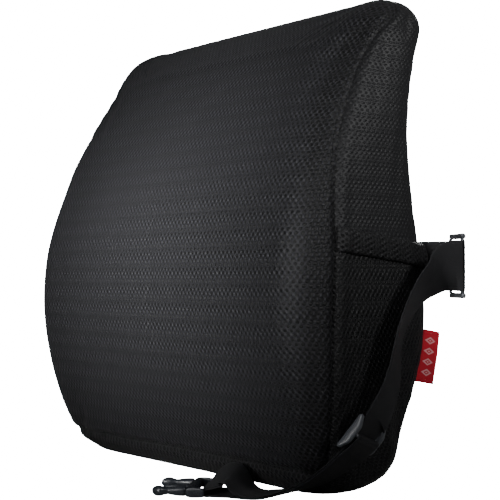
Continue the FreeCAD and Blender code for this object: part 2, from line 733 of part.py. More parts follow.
# Each arm bows out from its root, and ends in a hooked tip.
ARM_OUTLINE = [
    (0, -2.5), (9, -3.3), (20, -2.4), (28, -3.2), (30, -1.4), (28.5, 3.2), (24, 4.4),
    (21.5, 6.2), (15, 6.6), (8, 4.6), (0, 2.5)]
arm_start = size("plug_base_front") + size("arm_gap")
arm_low = -plug_bar_z + size("plug_floor") + (size("plug_thick") - size("arm_thick")) / 2
for name, side in (("plug_arm_near", 1), ("plug_arm_far", -1)):
    arm_root = local(plug_frame, arm_start, side * (size("plug_wide") / 2 - 7.5), arm_low)
    arm_frame = frame_at(arm_root, PLUG_ALONG, Z_AXIS)
    arm = new_body(name, arm_frame)
    outline = [(f"{x}*{S}arm_long/30", f"{side * y}*{S}arm_root/5") for x, y in ARM_OUTLINE]
    pad(arm, polygon(arm, name + "_outline", "XY_Plane", outline), S + "arm_thick", False)

# The socket hangs with its mouth down. Its own X runs from the strap bar to the mouth.
socket_frame = frame_at(socket_bar, -Z_AXIS, socket_side)
socket = new_body("buckle_socket", socket_frame)
half_socket = S + "socket_wide/2"
half_thick = S + "socket_thick/2"
slot_end = S + "socket_slot_long"
cavity_start = f"{slot_end}+{S}socket_solid"
pad(socket, polygon(socket, "socket_block", "XZ_Plane", box_corners(
    S + "plug_bar_back", S + "socket_long", "-" + half_thick, half_thick)), S + "socket_wide")
pocket(socket, polygon(socket, "socket_strap_slot", "XY_Plane", box_corners(
    f"{S}plug_bar_back-1", slot_end, f"-{S}glide_inside/2", S + "glide_inside/2")), "40")
pocket(socket, polygon(socket, "socket_cavity", "XZ_Plane", box_corners(
    cavity_start, f"{S}socket_long+2", f"-{half_thick}+{S}socket_wall",
    f"{half_thick}-{S}socket_wall")), f"{S}socket_wide-2*{S}socket_wall")
window = f"{cavity_start}+{S}window_start"
pocket(socket, polygon(socket, "socket_windows", "XZ_Plane", box_corners(
    window, f"{window}+{S}window_long", f"-{half_thick}+{S}socket_wall",
    f"{half_thick}-{S}socket_wall")), f"{S}socket_wide+4")
pad(socket, circle(socket, "socket_strap_bar", "XZ_Plane", "0", "0", S + "plug_bar_radius"),
    S + "glide_bar_long")

# ---------------------------------------------------------------- the side label

label_root = back_seam(103)
label_up = V(0, 0.185, 0.98).normalize()
label_out = V(0.2, 0.98, -0.18)
label_out = (label_out - label_up * label_out.dot(label_up)).normalize()
label_points = [label_root + label_out * reach for reach in (0.6, size("label_out"))]
label_stations = [(*point, *label_up) for point in label_points]
label, _ = ribbon(label_stations, size("label_tall"), size("label_thick"))
sub_part(label, "side_label")

# ---------------------------------------------------------------- checks and files

doc.recompute()
for item in doc.Objects:
    if "Invalid" in item.State or "Error" in item.State:
        raise ValueError(f"{item.Label} has failed")
for node in nodes:
    if node.Shape.isNull() or not node.Shape.isValid():
        raise ValueError(f"{node.Label} has no valid shape")

print("straps", round(right_strap_length), round(return_length), round(left_strap_length),
      round(right_anchor_length), round(left_anchor_length))
os.makedirs("parts", exist_ok=True)
for node in nodes:
    node.Shape.exportStep(f"parts/{node.Label}.step")
print(len(nodes), "sub-parts")
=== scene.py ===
import math

import bmesh
import bpy
import numpy as np
from mathutils import Matrix, Vector, noise

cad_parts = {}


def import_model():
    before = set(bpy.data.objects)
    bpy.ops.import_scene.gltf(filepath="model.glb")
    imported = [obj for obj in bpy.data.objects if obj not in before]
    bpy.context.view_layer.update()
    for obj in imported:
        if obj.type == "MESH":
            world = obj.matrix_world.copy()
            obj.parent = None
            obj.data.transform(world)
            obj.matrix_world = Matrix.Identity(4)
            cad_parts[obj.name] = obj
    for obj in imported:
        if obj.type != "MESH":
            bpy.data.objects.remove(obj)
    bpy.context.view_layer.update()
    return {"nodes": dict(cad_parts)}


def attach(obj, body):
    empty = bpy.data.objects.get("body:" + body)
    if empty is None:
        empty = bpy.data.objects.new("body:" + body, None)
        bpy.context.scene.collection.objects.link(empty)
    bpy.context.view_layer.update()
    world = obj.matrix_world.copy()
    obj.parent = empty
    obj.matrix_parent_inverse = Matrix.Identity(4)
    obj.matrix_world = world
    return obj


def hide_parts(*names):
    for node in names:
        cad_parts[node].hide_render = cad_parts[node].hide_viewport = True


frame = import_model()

MM = 0.001
nodes = frame["nodes"]

# --- camera

CAMERA_AT = Vector((0.7689, -0.60545, 0.1644))
CAMERA_RIGHT = Vector((0.6393, 0.7690, 0.0))
CAMERA_BACK = Vector((0.7688, -0.6392, -0.0216))
camera_up = CAMERA_BACK.cross(CAMERA_RIGHT)
camera_data = bpy.data.cameras.new("camera")
camera_data.lens = 82.2
camera_data.sensor_width = 36
camera_data.clip_end = 50
camera = bpy.data.objects.new("camera", camera_data)
turn = Matrix((CAMERA_RIGHT, camera_up, CAMERA_BACK)).transposed().to_4x4()
camera.matrix_world = Matrix.Translation(CAMERA_AT) @ turn
bpy.context.scene.collection.objects.link(camera)
bpy.context.scene.camera = camera

# --- mesh helpers


def run_lengths(points):
    """The length run so far at each point of a line."""
    return np.concatenate([[0], np.cumsum(np.linalg.norm(np.diff(points, axis=0), axis=1))])


def mesh_piece(name, verts, faces, material, uvs=None, opening=None, body="cushion",
               closed=True):
    """A smooth mesh object from points in mm, with an optional weave UV and mesh opening.

    A closed piece has its faces turned outward."""
    mesh = bpy.data.meshes.new(name)
    mesh.from_pydata([tuple(v) for v in np.array(verts) * MM], [], [tuple(f) for f in faces])
    if closed:
        shell = bmesh.new()
        shell.from_mesh(mesh)
        bmesh.ops.recalc_face_normals(shell, faces=shell.faces)
        shell.to_mesh(mesh)
        shell.free()
    if uvs is not None:
        layer = mesh.uv_layers.new(name="weave")
        loops = np.zeros(len(mesh.loops), dtype=np.int32)
        mesh.loops.foreach_get("vertex_index", loops)
        layer.data.foreach_set("uv", np.asarray(uvs, dtype=np.float32)[loops].ravel())
    if opening is not None:
        attribute = mesh.attributes.new("open", "FLOAT", "POINT")
        attribute.data.foreach_set("value", np.asarray(opening, dtype=np.float32))
    mesh.polygons.foreach_set("use_smooth", [True] * len(mesh.polygons))
    mesh.materials.append(material)
    mesh.update()
    piece = bpy.data.objects.new(name, mesh)
    bpy.context.scene.collection.objects.link(piece)
    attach(piece, body)
    return piece


def grid_faces(rows, columns, closed=False):
    faces = []
    wide = columns if closed else columns - 1
    for i in range(rows - 1):
        for j in range(wide):
            k = (j + 1) % columns
            low, high = i * columns, (i + 1) * columns
            faces.append((low + j, low + k, high + k, high + j))
    return faces


def two_layer_faces(rows, columns):
    """Faces of a thin closed sheet: one layer's rows, then the other layer's rows backwards."""
    last = 2 * rows - 1
    faces = grid_faces(2 * rows, columns)
    faces += [(last * columns + n, last * columns + n + 1, n + 1, n) for n in range(columns - 1)]
    for edge in (0, columns - 1):
        faces += [tuple(row * columns + edge for row in (n, n + 1, last - 1 - n, last - n))
                  for n in range(rows - 1)]
    return faces


def bulge(value, square):
    return math.copysign(abs(value) ** square, value)


def rounded_ring(centre, side, up, half_wide, half_tall, square, count):
    """Points round a centre. Square 1 makes an ellipse, and less makes flatter sides."""
    return [centre + side * (half_wide * bulge(math.cos(angle), square))
            + up * (half_tall * bulge(math.sin(angle), square))
            for angle in np.linspace(0, 2 * math.pi, count, endpoint=False)]


def add_tube(verts, faces, rings):
    """Adds a tube of rings with a face at each end."""
    base, count = len(verts), len(rings[0])
    last = (len(rings) - 1) * count
    tube = grid_faces(len(rings), count, closed=True)
    tube += [tuple(range(count))[::-1], tuple(range(last, last + count))]
    for ring in rings:
        verts.extend(ring)
    faces.extend(tuple(base + k for k in face) for face in tube)


def unit(vectors):
    return vectors / np.maximum(np.linalg.norm(vectors, axis=-1, keepdims=True), 1e-9)


# --- materials


class Signal:
    """A shader value that ordinary arithmetic turns into Math nodes."""

    def __init__(self, shader, socket):
        self.shader = shader
        self.socket = socket

    def math(self, operation, *inputs):
        made = self.shader.node("ShaderNodeMath", operation=operation)
        for source, socket in zip(inputs, made.inputs):
            self.shader.plug(source, socket)
        return Signal(self.shader, made.outputs[0])

    def __add__(self, other):
        return self.math("ADD", self, other)

    def __sub__(self, other):
        return self.math("SUBTRACT", self, other)

    def __rsub__(self, other):
        return self.math("SUBTRACT", other, self)

    def __mul__(self, other):
        return self.math("MULTIPLY", self, other)

    def __truediv__(self, other):
        return self.math("DIVIDE", self, other)

    def __abs__(self):
        return self.math("ABSOLUTE", self)

    def one(self, operation):
        return self.math(operation, self)

    def wave(self, period=None):
        """A sine of this value in radians, or in periods of the given length."""
        return (self * (2 * math.pi / period) if period else self).one("SINE")

    def clamped(self):
        self.socket.node.use_clamp = True
        return self

    __radd__ = __add__
    __rmul__ = __mul__


class Shader:
    """A node material built by short calls."""

    def __init__(self, name):
        self.material = bpy.data.materials.new(name)
        self.material.use_nodes = True
        self.tree = self.material.node_tree
        self.bsdf = self.tree.nodes["Principled BSDF"]

    def node(self, kind, **settings):
        made = self.tree.nodes.new(kind)
        for key, value in settings.items():
            setattr(made, key, value)
        return made

    def plug(self, source, socket):
        if isinstance(source, Signal):
            self.tree.links.new(source.socket, socket)
        else:
            socket.default_value = source

    def output(self, made, name, **inputs):
        """A node's output, after its inputs are filled in by name."""
        for key, source in inputs.items():
            self.plug(source, made.inputs[key.replace("_", " ")])
        return Signal(self, made.outputs[name])

    def step(self, value, low, high):
        made = self.node("ShaderNodeMapRange", interpolation_type="SMOOTHSTEP")
        return self.output(made, "Result", Value=value, From_Min=low, From_Max=high)

    def mix(self, share, first, second):
        made = self.node("ShaderNodeMix", data_type="RGBA")
        return self.output(made, "Result", Factor=share, A=first, B=second)

    def place(self):
        return self.output(self.node("ShaderNodeTexCoord"), "Object")

    def noise(self, scale, detail=3.0, roughness=0.5):
        return self.output(self.node("ShaderNodeTexNoise"), "Fac", Scale=scale, Detail=detail,
                           Roughness=roughness, Vector=self.place())

    def split(self, vector):
        made = self.node("ShaderNodeSeparateXYZ")
        return [self.output(made, axis, Vector=vector) for axis in "XYZ"]

    def uv(self):
        made = self.node("ShaderNodeUVMap", uv_map="weave")
        return self.split(self.output(made, "UV"))[:2]

    def bump(self, height, strength, distance):
        made = self.node("ShaderNodeBump")
        normal = self.output(made, "Normal", Strength=strength, Distance=distance, Height=height)
        self.plug(normal, self.bsdf.inputs["Normal"])

    def finish(self, color, roughness, sheen=0.0, specular=0.5):
        for name, source in (
                ("Base Color", color), ("Roughness", roughness), ("Sheen Weight", sheen),
                ("Sheen Roughness", 0.5), ("Specular IOR Level", specular)):
            self.plug(source, self.bsdf.inputs[name])
        return self.material


def rgba(color, shine=1.0):
    """A colour with its alpha, brightened by a factor."""
    return tuple(min(1.0, c * shine) for c in color) + (1,)


def lattice(u, v, pitch_u, pitch_v):
    """Distance to the nearest point of a staggered lattice, in cells."""
    u, v = u / pitch_u, v / pitch_v
    found = []
    for offset in (0.0, 0.5):
        across = (u + offset).one("FRACT") - 0.5
        up = ((v + offset).one("FRACT") - 0.5) * (pitch_v / pitch_u)
        found.append((across.math("POWER", across, 2.0) + up.math("POWER", up, 2.0)).one("SQRT"))
    return u.math("MINIMUM", *found)


MESH_U = 0.0047
MESH_V = 0.0070


def spacer_mesh(name, yarn, hole_shade, open_low, open_high, scale, shine):
    """Knitted spacer mesh: slanting yarn loops round a staggered lattice of openings. The loops
    carry a painted highlight and the openings a painted shade.
    """
    s = Shader(name)
    u, v = s.uv()
    pitch_u, pitch_v = MESH_U * scale, MESH_V * scale
    u = u + (s.noise(55.0, 2.0) - 0.5) * 0.0022
    fine = s.noise(2600.0, 2.0, 0.7)
    to_hole = lattice(u, v, pitch_u, pitch_v) + (fine - 0.5) * 0.10
    stretch = s.output(s.node("ShaderNodeAttribute", attribute_name="open"), "Fac")
    radius = open_low + stretch * (open_high - open_low)
    solid = s.step(to_hole, radius - 0.12, radius + 0.03)
    # the loops stand up half a cell away from the openings, and slant, and are painted lighter
    # there as a highlight
    to_loop = lattice(u + v * 0.30 + pitch_u / 2, v, pitch_u, pitch_v)
    loop = 1.0 - s.step(to_loop, 0.05, 0.40)
    patch = s.noise(9.0, 3.0)
    highlight_patches = s.noise(240.0, 3.0, 0.7)
    # painted highlight: the loops lift the yarn towards its brightened colour, in patches of
    # varying strength
    shade = ((loop * 0.55 + fine * 0.22) * (0.55 + highlight_patches * 0.8)).clamped()
    color = s.mix(shade, rgba(yarn), rgba(yarn, shine))
    color = s.mix(((patch - 0.35) * 0.35).clamped(), color, rgba(yarn, shine))
    s.bump(solid + loop * 0.6 + fine * 0.12, 0.85, 0.0010)
    # painted shade: the openings take a near-black colour for the shade inside them
    color = s.mix(solid, rgba(hole_shade), color)
    return s.finish(color, 0.46 + fine * 0.2, sheen=0.03, specular=0.36)


def plain_fabric(name, base, scale, strength=0.5, sheen=0.2):
    """A close plain weave from two crossed waves and fibre noise."""
    s = Shader(name)
    x, y, z = ((axis * scale).wave() for axis in s.split(s.place()))
    weave = x * z + y * 0.4
    fine = s.noise(3000.0, 2.0)
    shade = (weave * 0.18 + fine * 0.6).clamped()
    s.bump(weave + fine, strength, 0.0003)
    return s.finish(s.mix(shade, rgba(base), rgba(base, 1.6)), 0.8, sheen=sheen, specular=0.3)


def webbing_material():
    """Woven webbing: rows of paired ribs along the strap, crossed by fine picks, with the rib and
    pick crests painted lighter than their hollows and a painted highlight along both edges.
    """
    s = Shader("webbing")
    u, v = s.uv()
    rib = u.wave(0.0021)
    pick = (v / 0.0011 + rib.one("SIGN") * 0.25).wave(1.0)
    rib_height = abs(rib).one("SQRT")
    pick_height = (pick + 1.0) * 0.5
    fine = s.noise(3500.0, 2.0, 0.7)
    patch = s.noise(30.0, 3.0)
    # painted highlight: a lighter band along each of the strap's two edges
    edge = s.step(abs(u), 0.0172, 0.0186)
    # painted highlight and shade: the crests of ribs and picks are coloured lighter, their hollows
    # darker
    shade = (rib_height * 0.35 + pick_height * 0.25 + fine * 0.3 + (patch - 0.5) * 0.5).clamped()
    color = s.mix(shade, (0.008, 0.008, 0.0088, 1), (0.028, 0.028, 0.031, 1))
    color = s.mix(edge * 0.5, color, (0.030, 0.030, 0.033, 1))
    s.bump(rib_height * 0.6 + pick_height * 0.4 + fine * 0.3, 0.6, 0.0005)
    return s.finish(color, 0.55 + fine * 0.25, sheen=0.03, specular=0.25)


def plastic_material(name, dark, light, rough):
    """Moulded plastic: faint flow marks, fine grain and small scuffs."""
    s = Shader(name)
    flow = s.noise(60.0, 4.0, 0.6)
    grain = s.noise(1800.0, 2.0)
    scuff = s.step(s.noise(420.0, 5.0, 0.75), 0.60, 0.72)
    color = s.mix(scuff * 0.25, s.mix(flow, rgba(dark), rgba(light)), rgba(light, 1.5))
    s.bump(grain + flow * 2.0, 0.12, 0.0003)
    s.bsdf.inputs["Coat Weight"].default_value = 0.25
    s.bsdf.inputs["Coat Roughness"].default_value = 0.2
    return s.finish(color, rough + grain * 0.10 + scuff * 0.15, specular=0.55)


def metal_material():
    s = Shader("zip_metal")
    grain = s.noise(900.0, 3.0)
    wear = s.step(s.noise(300.0, 5.0, 0.7), 0.62, 0.74)
    color = s.mix(wear, (0.035, 0.035, 0.038, 1), (0.12, 0.12, 0.125, 1))
    s.bump(grain, 0.1, 0.0002)
    s.bsdf.inputs["Metallic"].default_value = 0.35
    return s.finish(color, 0.34 + grain * 0.15)


def foam_material():
    s = Shader("foam")
    cells = s.output(s.node("ShaderNodeTexVoronoi"), "Distance", Scale=900, Vector=s.place())
    color = s.mix(s.noise(14.0, 3.0), (0.62, 0.58, 0.44, 1), (0.78, 0.75, 0.62, 1))
    s.bump(cells, 0.5, 0.0006)
    return s.finish(color, 0.85, sheen=0.1, specular=0.3)


def label_material():
    """Red woven ribbon with a plain border and a column of small lozenges."""
    s = Shader("label_red")
    u, v = s.uv()
    satin = (u + v * 0.5).wave(0.0006)
    fine = s.noise(3000.0, 2.0)
    shade = (satin * 0.12 + fine * 0.7).clamped()
    red = s.mix(shade, (0.55, 0.006, 0.022, 1), (0.90, 0.020, 0.050, 1))
    # lozenges in a column along the ribbon's middle
    cell = (v / 0.0082).one("FRACT") - 0.5
    reach = abs(u / 0.0062) + abs(cell) * 2.4
    ring = s.step(reach, 0.42, 0.5) - s.step(reach, 0.78, 0.86)
    core = 1.0 - s.step(reach, 0.16, 0.24)
    inside = 1.0 - s.step(abs(v), 0.0178, 0.0182)
    motif = (ring + core).clamped() * (inside * 0.85)
    s.bump(satin + v.wave(0.0005) + motif * 1.2, 0.4, 0.00025)
    color = s.mix(motif, red, (0.90, 0.48, 0.50, 1))
    return s.finish(color, 0.45 + fine * 0.2, sheen=0.02, specular=0.3)


# Yarn, the openings' painted shade, the openings' least and greatest radius in cells, cell scale,
# the brightness of the loops' painted highlight.
MESH_FRONT, MESH_SIDE, MESH_BOTTOM = (spacer_mesh(*mesh) for mesh in (
    ("mesh_front", (0.0070, 0.0070, 0.0085), (0.0004, 0.0004, 0.0006), 0.34, 0.43, 0.9, 6.0),
    ("mesh_side", (0.0070, 0.0070, 0.0079), (0.0002, 0.0002, 0.0003), 0.14, 0.42, 0.85, 2.6),
    ("mesh_bottom", (0.0150, 0.0150, 0.0165), (0.0001, 0.0001, 0.0001), 0.40, 0.43, 0.9, 3.4)))
WEBBING = webbing_material()
PLASTIC = plastic_material("buckle_plastic", (0.020, 0.023, 0.029), (0.036, 0.040, 0.050), 0.22)
GLIDE = plastic_material("glide_plastic", (0.075, 0.082, 0.094), (0.12, 0.128, 0.142), 0.28)
METAL = metal_material()
TAPE = plain_fabric("zip_tape", (0.006, 0.006, 0.0065), 9000.0, sheen=0.02)
TEETH = plastic_material("zip_teeth", (0.010, 0.010, 0.011), (0.03, 0.03, 0.032), 0.42)
LINER = plain_fabric("liner", (0.42, 0.42, 0.42), 6000.0)
THREAD = plain_fabric("thread", (0.004, 0.004, 0.0045), 14000.0, strength=0.8, sheen=0.0)
LABEL = label_material()
FOAM = foam_material()


def dress(name, material, bevel):
    """A CAD node keeps its shape, takes a material, and its moulded edges are rounded."""
    thing = nodes[name]
    thing.data.materials.clear()
    thing.data.materials.append(material)
    rounding = thing.modifiers.new("rounding", "BEVEL")
    rounding.width = bevel * MM
    rounding.segments = 3
    rounding.limit_method = "ANGLE"
    rounding.angle_limit = math.radians(35)
    rounding.harden_normals = True


# --- the cushion's form, in mm

SHIFT = 5.45
HEIGHT = 380.0
FORM = np.array([
    (0, -40, 41), (30, -57, 31), (76, -73, 43.5), (133, -82, 54), (190, -77.5, 47),
    (247, -57.5, 38.5), (304, -29.5, 43), (350, -3.5, 59.5), (380, 9, 71)], dtype=float)


def smooth_through(xs, ys):
    """A natural cubic through points, as a function."""
    count = len(xs)
    h = np.diff(xs)
    a = np.zeros((count, count))
    b = np.zeros(count)
    a[0, 0] = a[-1, -1] = 1
    for i in range(1, count - 1):
        a[i, i - 1:i + 2] = h[i - 1], 2 * (h[i - 1] + h[i]), h[i]
        b[i] = 3 * ((ys[i + 1] - ys[i]) / h[i] - (ys[i] - ys[i - 1]) / h[i - 1])
    c = np.linalg.solve(a, b)

    def at(x):
        i = int(min(max(np.searchsorted(xs, x) - 1, 0), count - 2))
        d = x - xs[i]
        slope = (ys[i + 1] - ys[i]) / h[i] - h[i] * (2 * c[i] + c[i + 1]) / 3
        return ys[i] + slope * d + c[i] * d * d + (c[i + 1] - c[i]) / (3 * h[i]) * d ** 3
    return at

front_at = smooth_through(FORM[:, 0], FORM[:, 1] + SHIFT)
back_at = smooth_through(FORM[:, 0], FORM[:, 2] + SHIFT)
SEAM = np.array([
    (20, -44), (90, -50), (182, -50), (253, -41), (307, -19), (349, 11), (392, 64)], dtype=float)
seam_at = smooth_through(SEAM[:, 0], SEAM[:, 1] + SHIFT)
BOTTOM_HALF, TOP_HALF, SIDE_SWELL = 180, 175.5, 11


def round_off(distance, radius):
    reach = max(0.0, 1 - distance / radius)
    return radius * (1 - math.sqrt(1 - 0.998 * reach * reach))


def half_width(z):
    share = z / HEIGHT
    width = BOTTOM_HALF * (1 - share) + TOP_HALF * share + SIDE_SWELL * 4 * share * (1 - share)
    return width - round_off(z, 36) - round_off(HEIGHT - z, 28)


crown = (back_at(HEIGHT) - front_at(HEIGHT)) / 2


def faces_at(z):
    """The y of the front and of the back at a height."""
    front = front_at(z) + round_off(z, 16)
    back = back_at(z) - round_off(z, 38)
    reach = max(0.0, 1 - (HEIGHT - z) / crown)
    middle = (front + back) / 2
    half = (back - front) / 2 * math.sqrt(1 - 0.97 * reach * reach)
    return middle - half, middle + half


FLAT_POINTS, FRONT_TURN, SIDE_POINTS, BACK_TURN = 60, 40, 40, 30
SIDE_START = FLAT_POINTS + FRONT_TURN
SIDE_END = SIDE_START + SIDE_POINTS
LAST_SEAM_POINT = SIDE_START + 25
GUSSET_TOP = 20
SEAM_INSET = 12.0


def quarter(centre_x, centre_y, radius, start, count):
    return [(centre_x + radius * math.cos(angle), centre_y + radius * math.sin(angle))
            for angle in np.linspace(start, start + math.pi / 2, count, endpoint=False)]


def outline(z):
    """The right half outline at a height, front centre to back centre, with its two seams."""
    front, back = faces_at(z)
    side = half_width(z)
    rf = min(32.0, 0.52 * (back - front))
    rb = min(20.0, 0.34 * (back - front))
    points = [(x, front) for x in np.linspace(0, side - rf, FLAT_POINTS, endpoint=False)]
    points += quarter(side - rf, front + rf, rf, -math.pi / 2, FRONT_TURN)
    points += [(side, y) for y in np.linspace(front + rf, back - rb, SIDE_POINTS, endpoint=False)]
    points += quarter(side - rb, back - rb, rb, 0, BACK_TURN)
    points += [(x, back) for x in np.linspace(side - rb, 0, FLAT_POINTS)]
    points = np.array(points)
    run = run_lengths(points)
    edge_x = side - SEAM_INSET
    if z < GUSSET_TOP:
        front_seam = float(np.interp(edge_x, points[:SIDE_START, 0], run[:SIDE_START]))
    else:
        line = max(seam_at(z), front + 0.5)
        outer = slice(FLAT_POINTS, SIDE_END)
        front_seam = float(np.interp(line, points[outer, 1], run[outer]))
        front_seam = min(front_seam, run[LAST_SEAM_POINT])
    order = SIDE_END + np.argsort(points[SIDE_END:, 0])
    back_seam = float(np.interp(edge_x, points[order, 0], run[order]))
    return points, run, front_seam, max(back_seam, front_seam + 4)


# Columns run from the front's middle round the right to the back's middle, then mirrored.
ROWS = 150
FRONT = 144
SIDE = 44
COLUMNS = 2 * (FRONT + SIDE)
RIGHT_FRONT = FRONT // 2
RIGHT_BACK = RIGHT_FRONT + SIDE
LEFT_BACK = RIGHT_BACK + FRONT
LEFT_FRONT = LEFT_BACK + SIDE
heights = [HEIGHT / 2 * (1 - math.cos(math.pi * i / (ROWS - 1))) for i in range(ROWS)]
place = np.zeros((ROWS, COLUMNS, 3))
around = np.zeros((ROWS, COLUMNS))
seam_gap = np.zeros((ROWS, COLUMNS))
for i, z in enumerate(heights):
    points, run, front_seam, back_seam = outline(z)
    stops = np.concatenate([
        np.linspace(0, front_seam, RIGHT_FRONT + 1),
        np.linspace(front_seam, back_seam, SIDE + 1)[1:],
        np.linspace(back_seam, run[-1], RIGHT_FRONT + 1)[1:]])
    xs = np.interp(stops, run, points[:, 0])
    ys = np.interp(stops, run, points[:, 1])
    gap = np.minimum(np.abs(stops - front_seam), np.abs(stops - back_seam))
    count = len(stops)
    for k in range(count):
        for side, column in ((1, k), (-1, COLUMNS - k)):
            if side == 1 or 0 < k < count - 1:
                place[i, column] = side * xs[k], ys[k], z
                around[i, column] = side * stops[k]
                seam_gap[i, column] = gap[k]


def closed_form():
    """Vertices and faces of the whole closed form, and the index grids of its two caps.

    A cap's rim uses the ring's own points, and its inside is blended from its four edges."""
    verts = [tuple(v) for v in place.reshape(-1, 3)]
    faces = grid_faces(ROWS, COLUMNS, closed=True)
    cap_index = []
    s = np.arange(SIDE + 1)[:, None, None] / SIDE
    t = np.arange(FRONT + 1)[None, :, None] / FRONT
    for row, flip in ((0, True), (ROWS - 1, False)):
        index = np.zeros((SIDE + 1, FRONT + 1), dtype=int)
        index[:, 0] = LEFT_FRONT - np.arange(SIDE + 1)
        index[:, -1] = RIGHT_FRONT + np.arange(SIDE + 1)
        index[0] = np.arange(LEFT_FRONT, LEFT_FRONT + FRONT + 1) % COLUMNS
        index[-1] = np.arange(LEFT_BACK, RIGHT_BACK - 1, -1)
        rim = place[row][index]
        points = (
            (1 - s) * rim[0] + s * rim[-1] + (1 - t) * rim[:, :1] + t * rim[:, -1:]
            - (1 - s) * (1 - t) * rim[0, 0] - (1 - s) * t * rim[0, -1]
            - s * (1 - t) * rim[-1, 0] - s * t * rim[-1, -1])
        index += row * COLUMNS
        index[1:-1, 1:-1] = len(verts) + np.arange((SIDE - 1) * (FRONT - 1)).reshape(SIDE - 1, -1)
        verts += [tuple(v) for v in points[1:-1, 1:-1].reshape(-1, 3)]
        for a in range(SIDE):
            for b in range(FRONT):
                quad = (index[a, b], index[a, b + 1], index[a + 1, b + 1], index[a + 1, b])
                faces.append(quad[::-1] if flip else quad)
        cap_index.append(index)
    return np.array(verts), faces, cap_index


# The whole cover is inflated a little over its foam as one cloth, then cut at its seams.
verts, faces, cap_index = closed_form()
CLOTH_FRAMES = 16
MOST_SETTLED = 3.0


def settle_as_cloth(verts, faces):
    """A short cloth run under light pressure, seams held. Returns the moved points."""
    mesh = bpy.data.meshes.new("settling")
    mesh.from_pydata([tuple(v * MM) for v in verts], [], faces)
    thing = bpy.data.objects.new("settling", mesh)
    bpy.context.scene.collection.objects.link(thing)
    held = thing.vertex_groups.new(name="held")
    pinned = {i * COLUMNS + column for i in range(ROWS)
              for column in (RIGHT_FRONT, RIGHT_BACK, LEFT_BACK, LEFT_FRONT)}
    pinned |= {int(k) for k in cap_index[0].ravel()}
    held.add(sorted(pinned), 1.0, "REPLACE")
    cloth = thing.modifiers.new("cloth", "CLOTH")
    settings = cloth.settings
    settings.vertex_group_mass = "held"
    settings.use_pressure = True
    settings.uniform_pressure_force = 3.0
    settings.quality = 6
    settings.mass = 0.25
    settings.tension_stiffness = settings.compression_stiffness = 30
    settings.bending_stiffness = 1.0
    settings.effector_weights.gravity = 0
    cloth.point_cache.frame_end = CLOTH_FRAMES
    scene = bpy.context.scene
    for number in range(1, CLOTH_FRAMES + 1):
        scene.frame_set(number)
    moved = np.zeros(len(verts) * 3)
    shaped = thing.evaluated_get(bpy.context.evaluated_depsgraph_get())
    shaped.data.vertices.foreach_get("co", moved)
    scene.frame_set(1)
    bpy.data.objects.remove(thing)
    return moved.reshape(-1, 3) / MM


rest = verts.copy()
change = settle_as_cloth(verts, faces) - verts
size = np.linalg.norm(change, axis=1, keepdims=True)
verts = verts + change * np.minimum(1.0, MOST_SETTLED / np.maximum(size, 1e-9))

# --- seams and softness

ring_count = ROWS * COLUMNS
grid = verts[:ring_count].reshape(ROWS, COLUMNS, 3)
beside = np.roll(grid, -1, axis=1) - np.roll(grid, 1, axis=1)
normal = unit(np.cross(beside, np.gradient(grid, axis=0)))
columns = np.arange(COLUMNS)
front_zone = np.tile((columns <= RIGHT_FRONT) | (columns >= LEFT_FRONT), (ROWS, 1))
height_grid = np.repeat(np.array(heights)[:, None], COLUMNS, axis=1)
low_gap = np.where(front_zone, np.abs(height_grid - GUSSET_TOP), 99)
top_gap = np.where(front_zone, 99, np.abs(height_grid - HEIGHT) + 1.5)
gap = np.minimum(seam_gap, np.minimum(low_gap, top_gap))
rough = np.zeros((ROWS, COLUMNS))
pucker = np.zeros((ROWS, COLUMNS))
for i in range(ROWS):
    for k in range(COLUMNS):
        spot = Vector(grid[i, k])
        rough[i, k] = noise.noise(spot / 62) * 1.1
        rough[i, k] += noise.noise(spot / 21 + Vector((7, 1, 3))) * 0.35
        pucker[i, k] = noise.noise(spot / 8.5 + Vector((3, 9, 5)))
valley = -2.3 * np.exp(-(gap / 2.4) ** 2) + 0.9 * np.exp(-((gap - 7.5) / 4.0) ** 2)
valley += pucker * 0.9 * np.exp(-(gap / 9.0) ** 2)
ends = np.minimum(1.0, np.minimum(height_grid, HEIGHT - height_grid) / 12)
grid = grid + normal * ((valley + rough * 0.8) * ends)[..., None]
verts[:ring_count] = grid.reshape(-1, 3)

# The weave's own coordinates: round the cushion, and up it along the front's middle.
WEAVE_SHARE = 0.88
TAB_Z = 184
climb = run_lengths(rest[:ring_count].reshape(ROWS, COLUMNS, 3)[:, 0])
uv = np.zeros((len(verts), 2))
uv[:ring_count, 0] = (around * WEAVE_SHARE).ravel() * MM
uv[:ring_count, 1] = np.repeat(climb, COLUMNS) * MM
opened = np.zeros(len(verts))
side_open = np.where(height_grid > TAB_Z, 0.22, 0.95)
corner_in = np.where(front_zone, np.clip(1 - (seam_gap - 19) / 8, 0, 1), side_open)
opened[:ring_count] = np.maximum(corner_in, np.where(height_grid < GUSSET_TOP, 1.0, 0.0)).ravel()
for index in cap_index:
    inner = index[1:-1, 1:-1].ravel()
    uv[inner] = verts[inner][:, :2] * MM
    opened[inner] = 1.0


def tab_line(y):
    return TAB_Z - 0.12 * (y - SHIFT)


ZIP_Z = 48


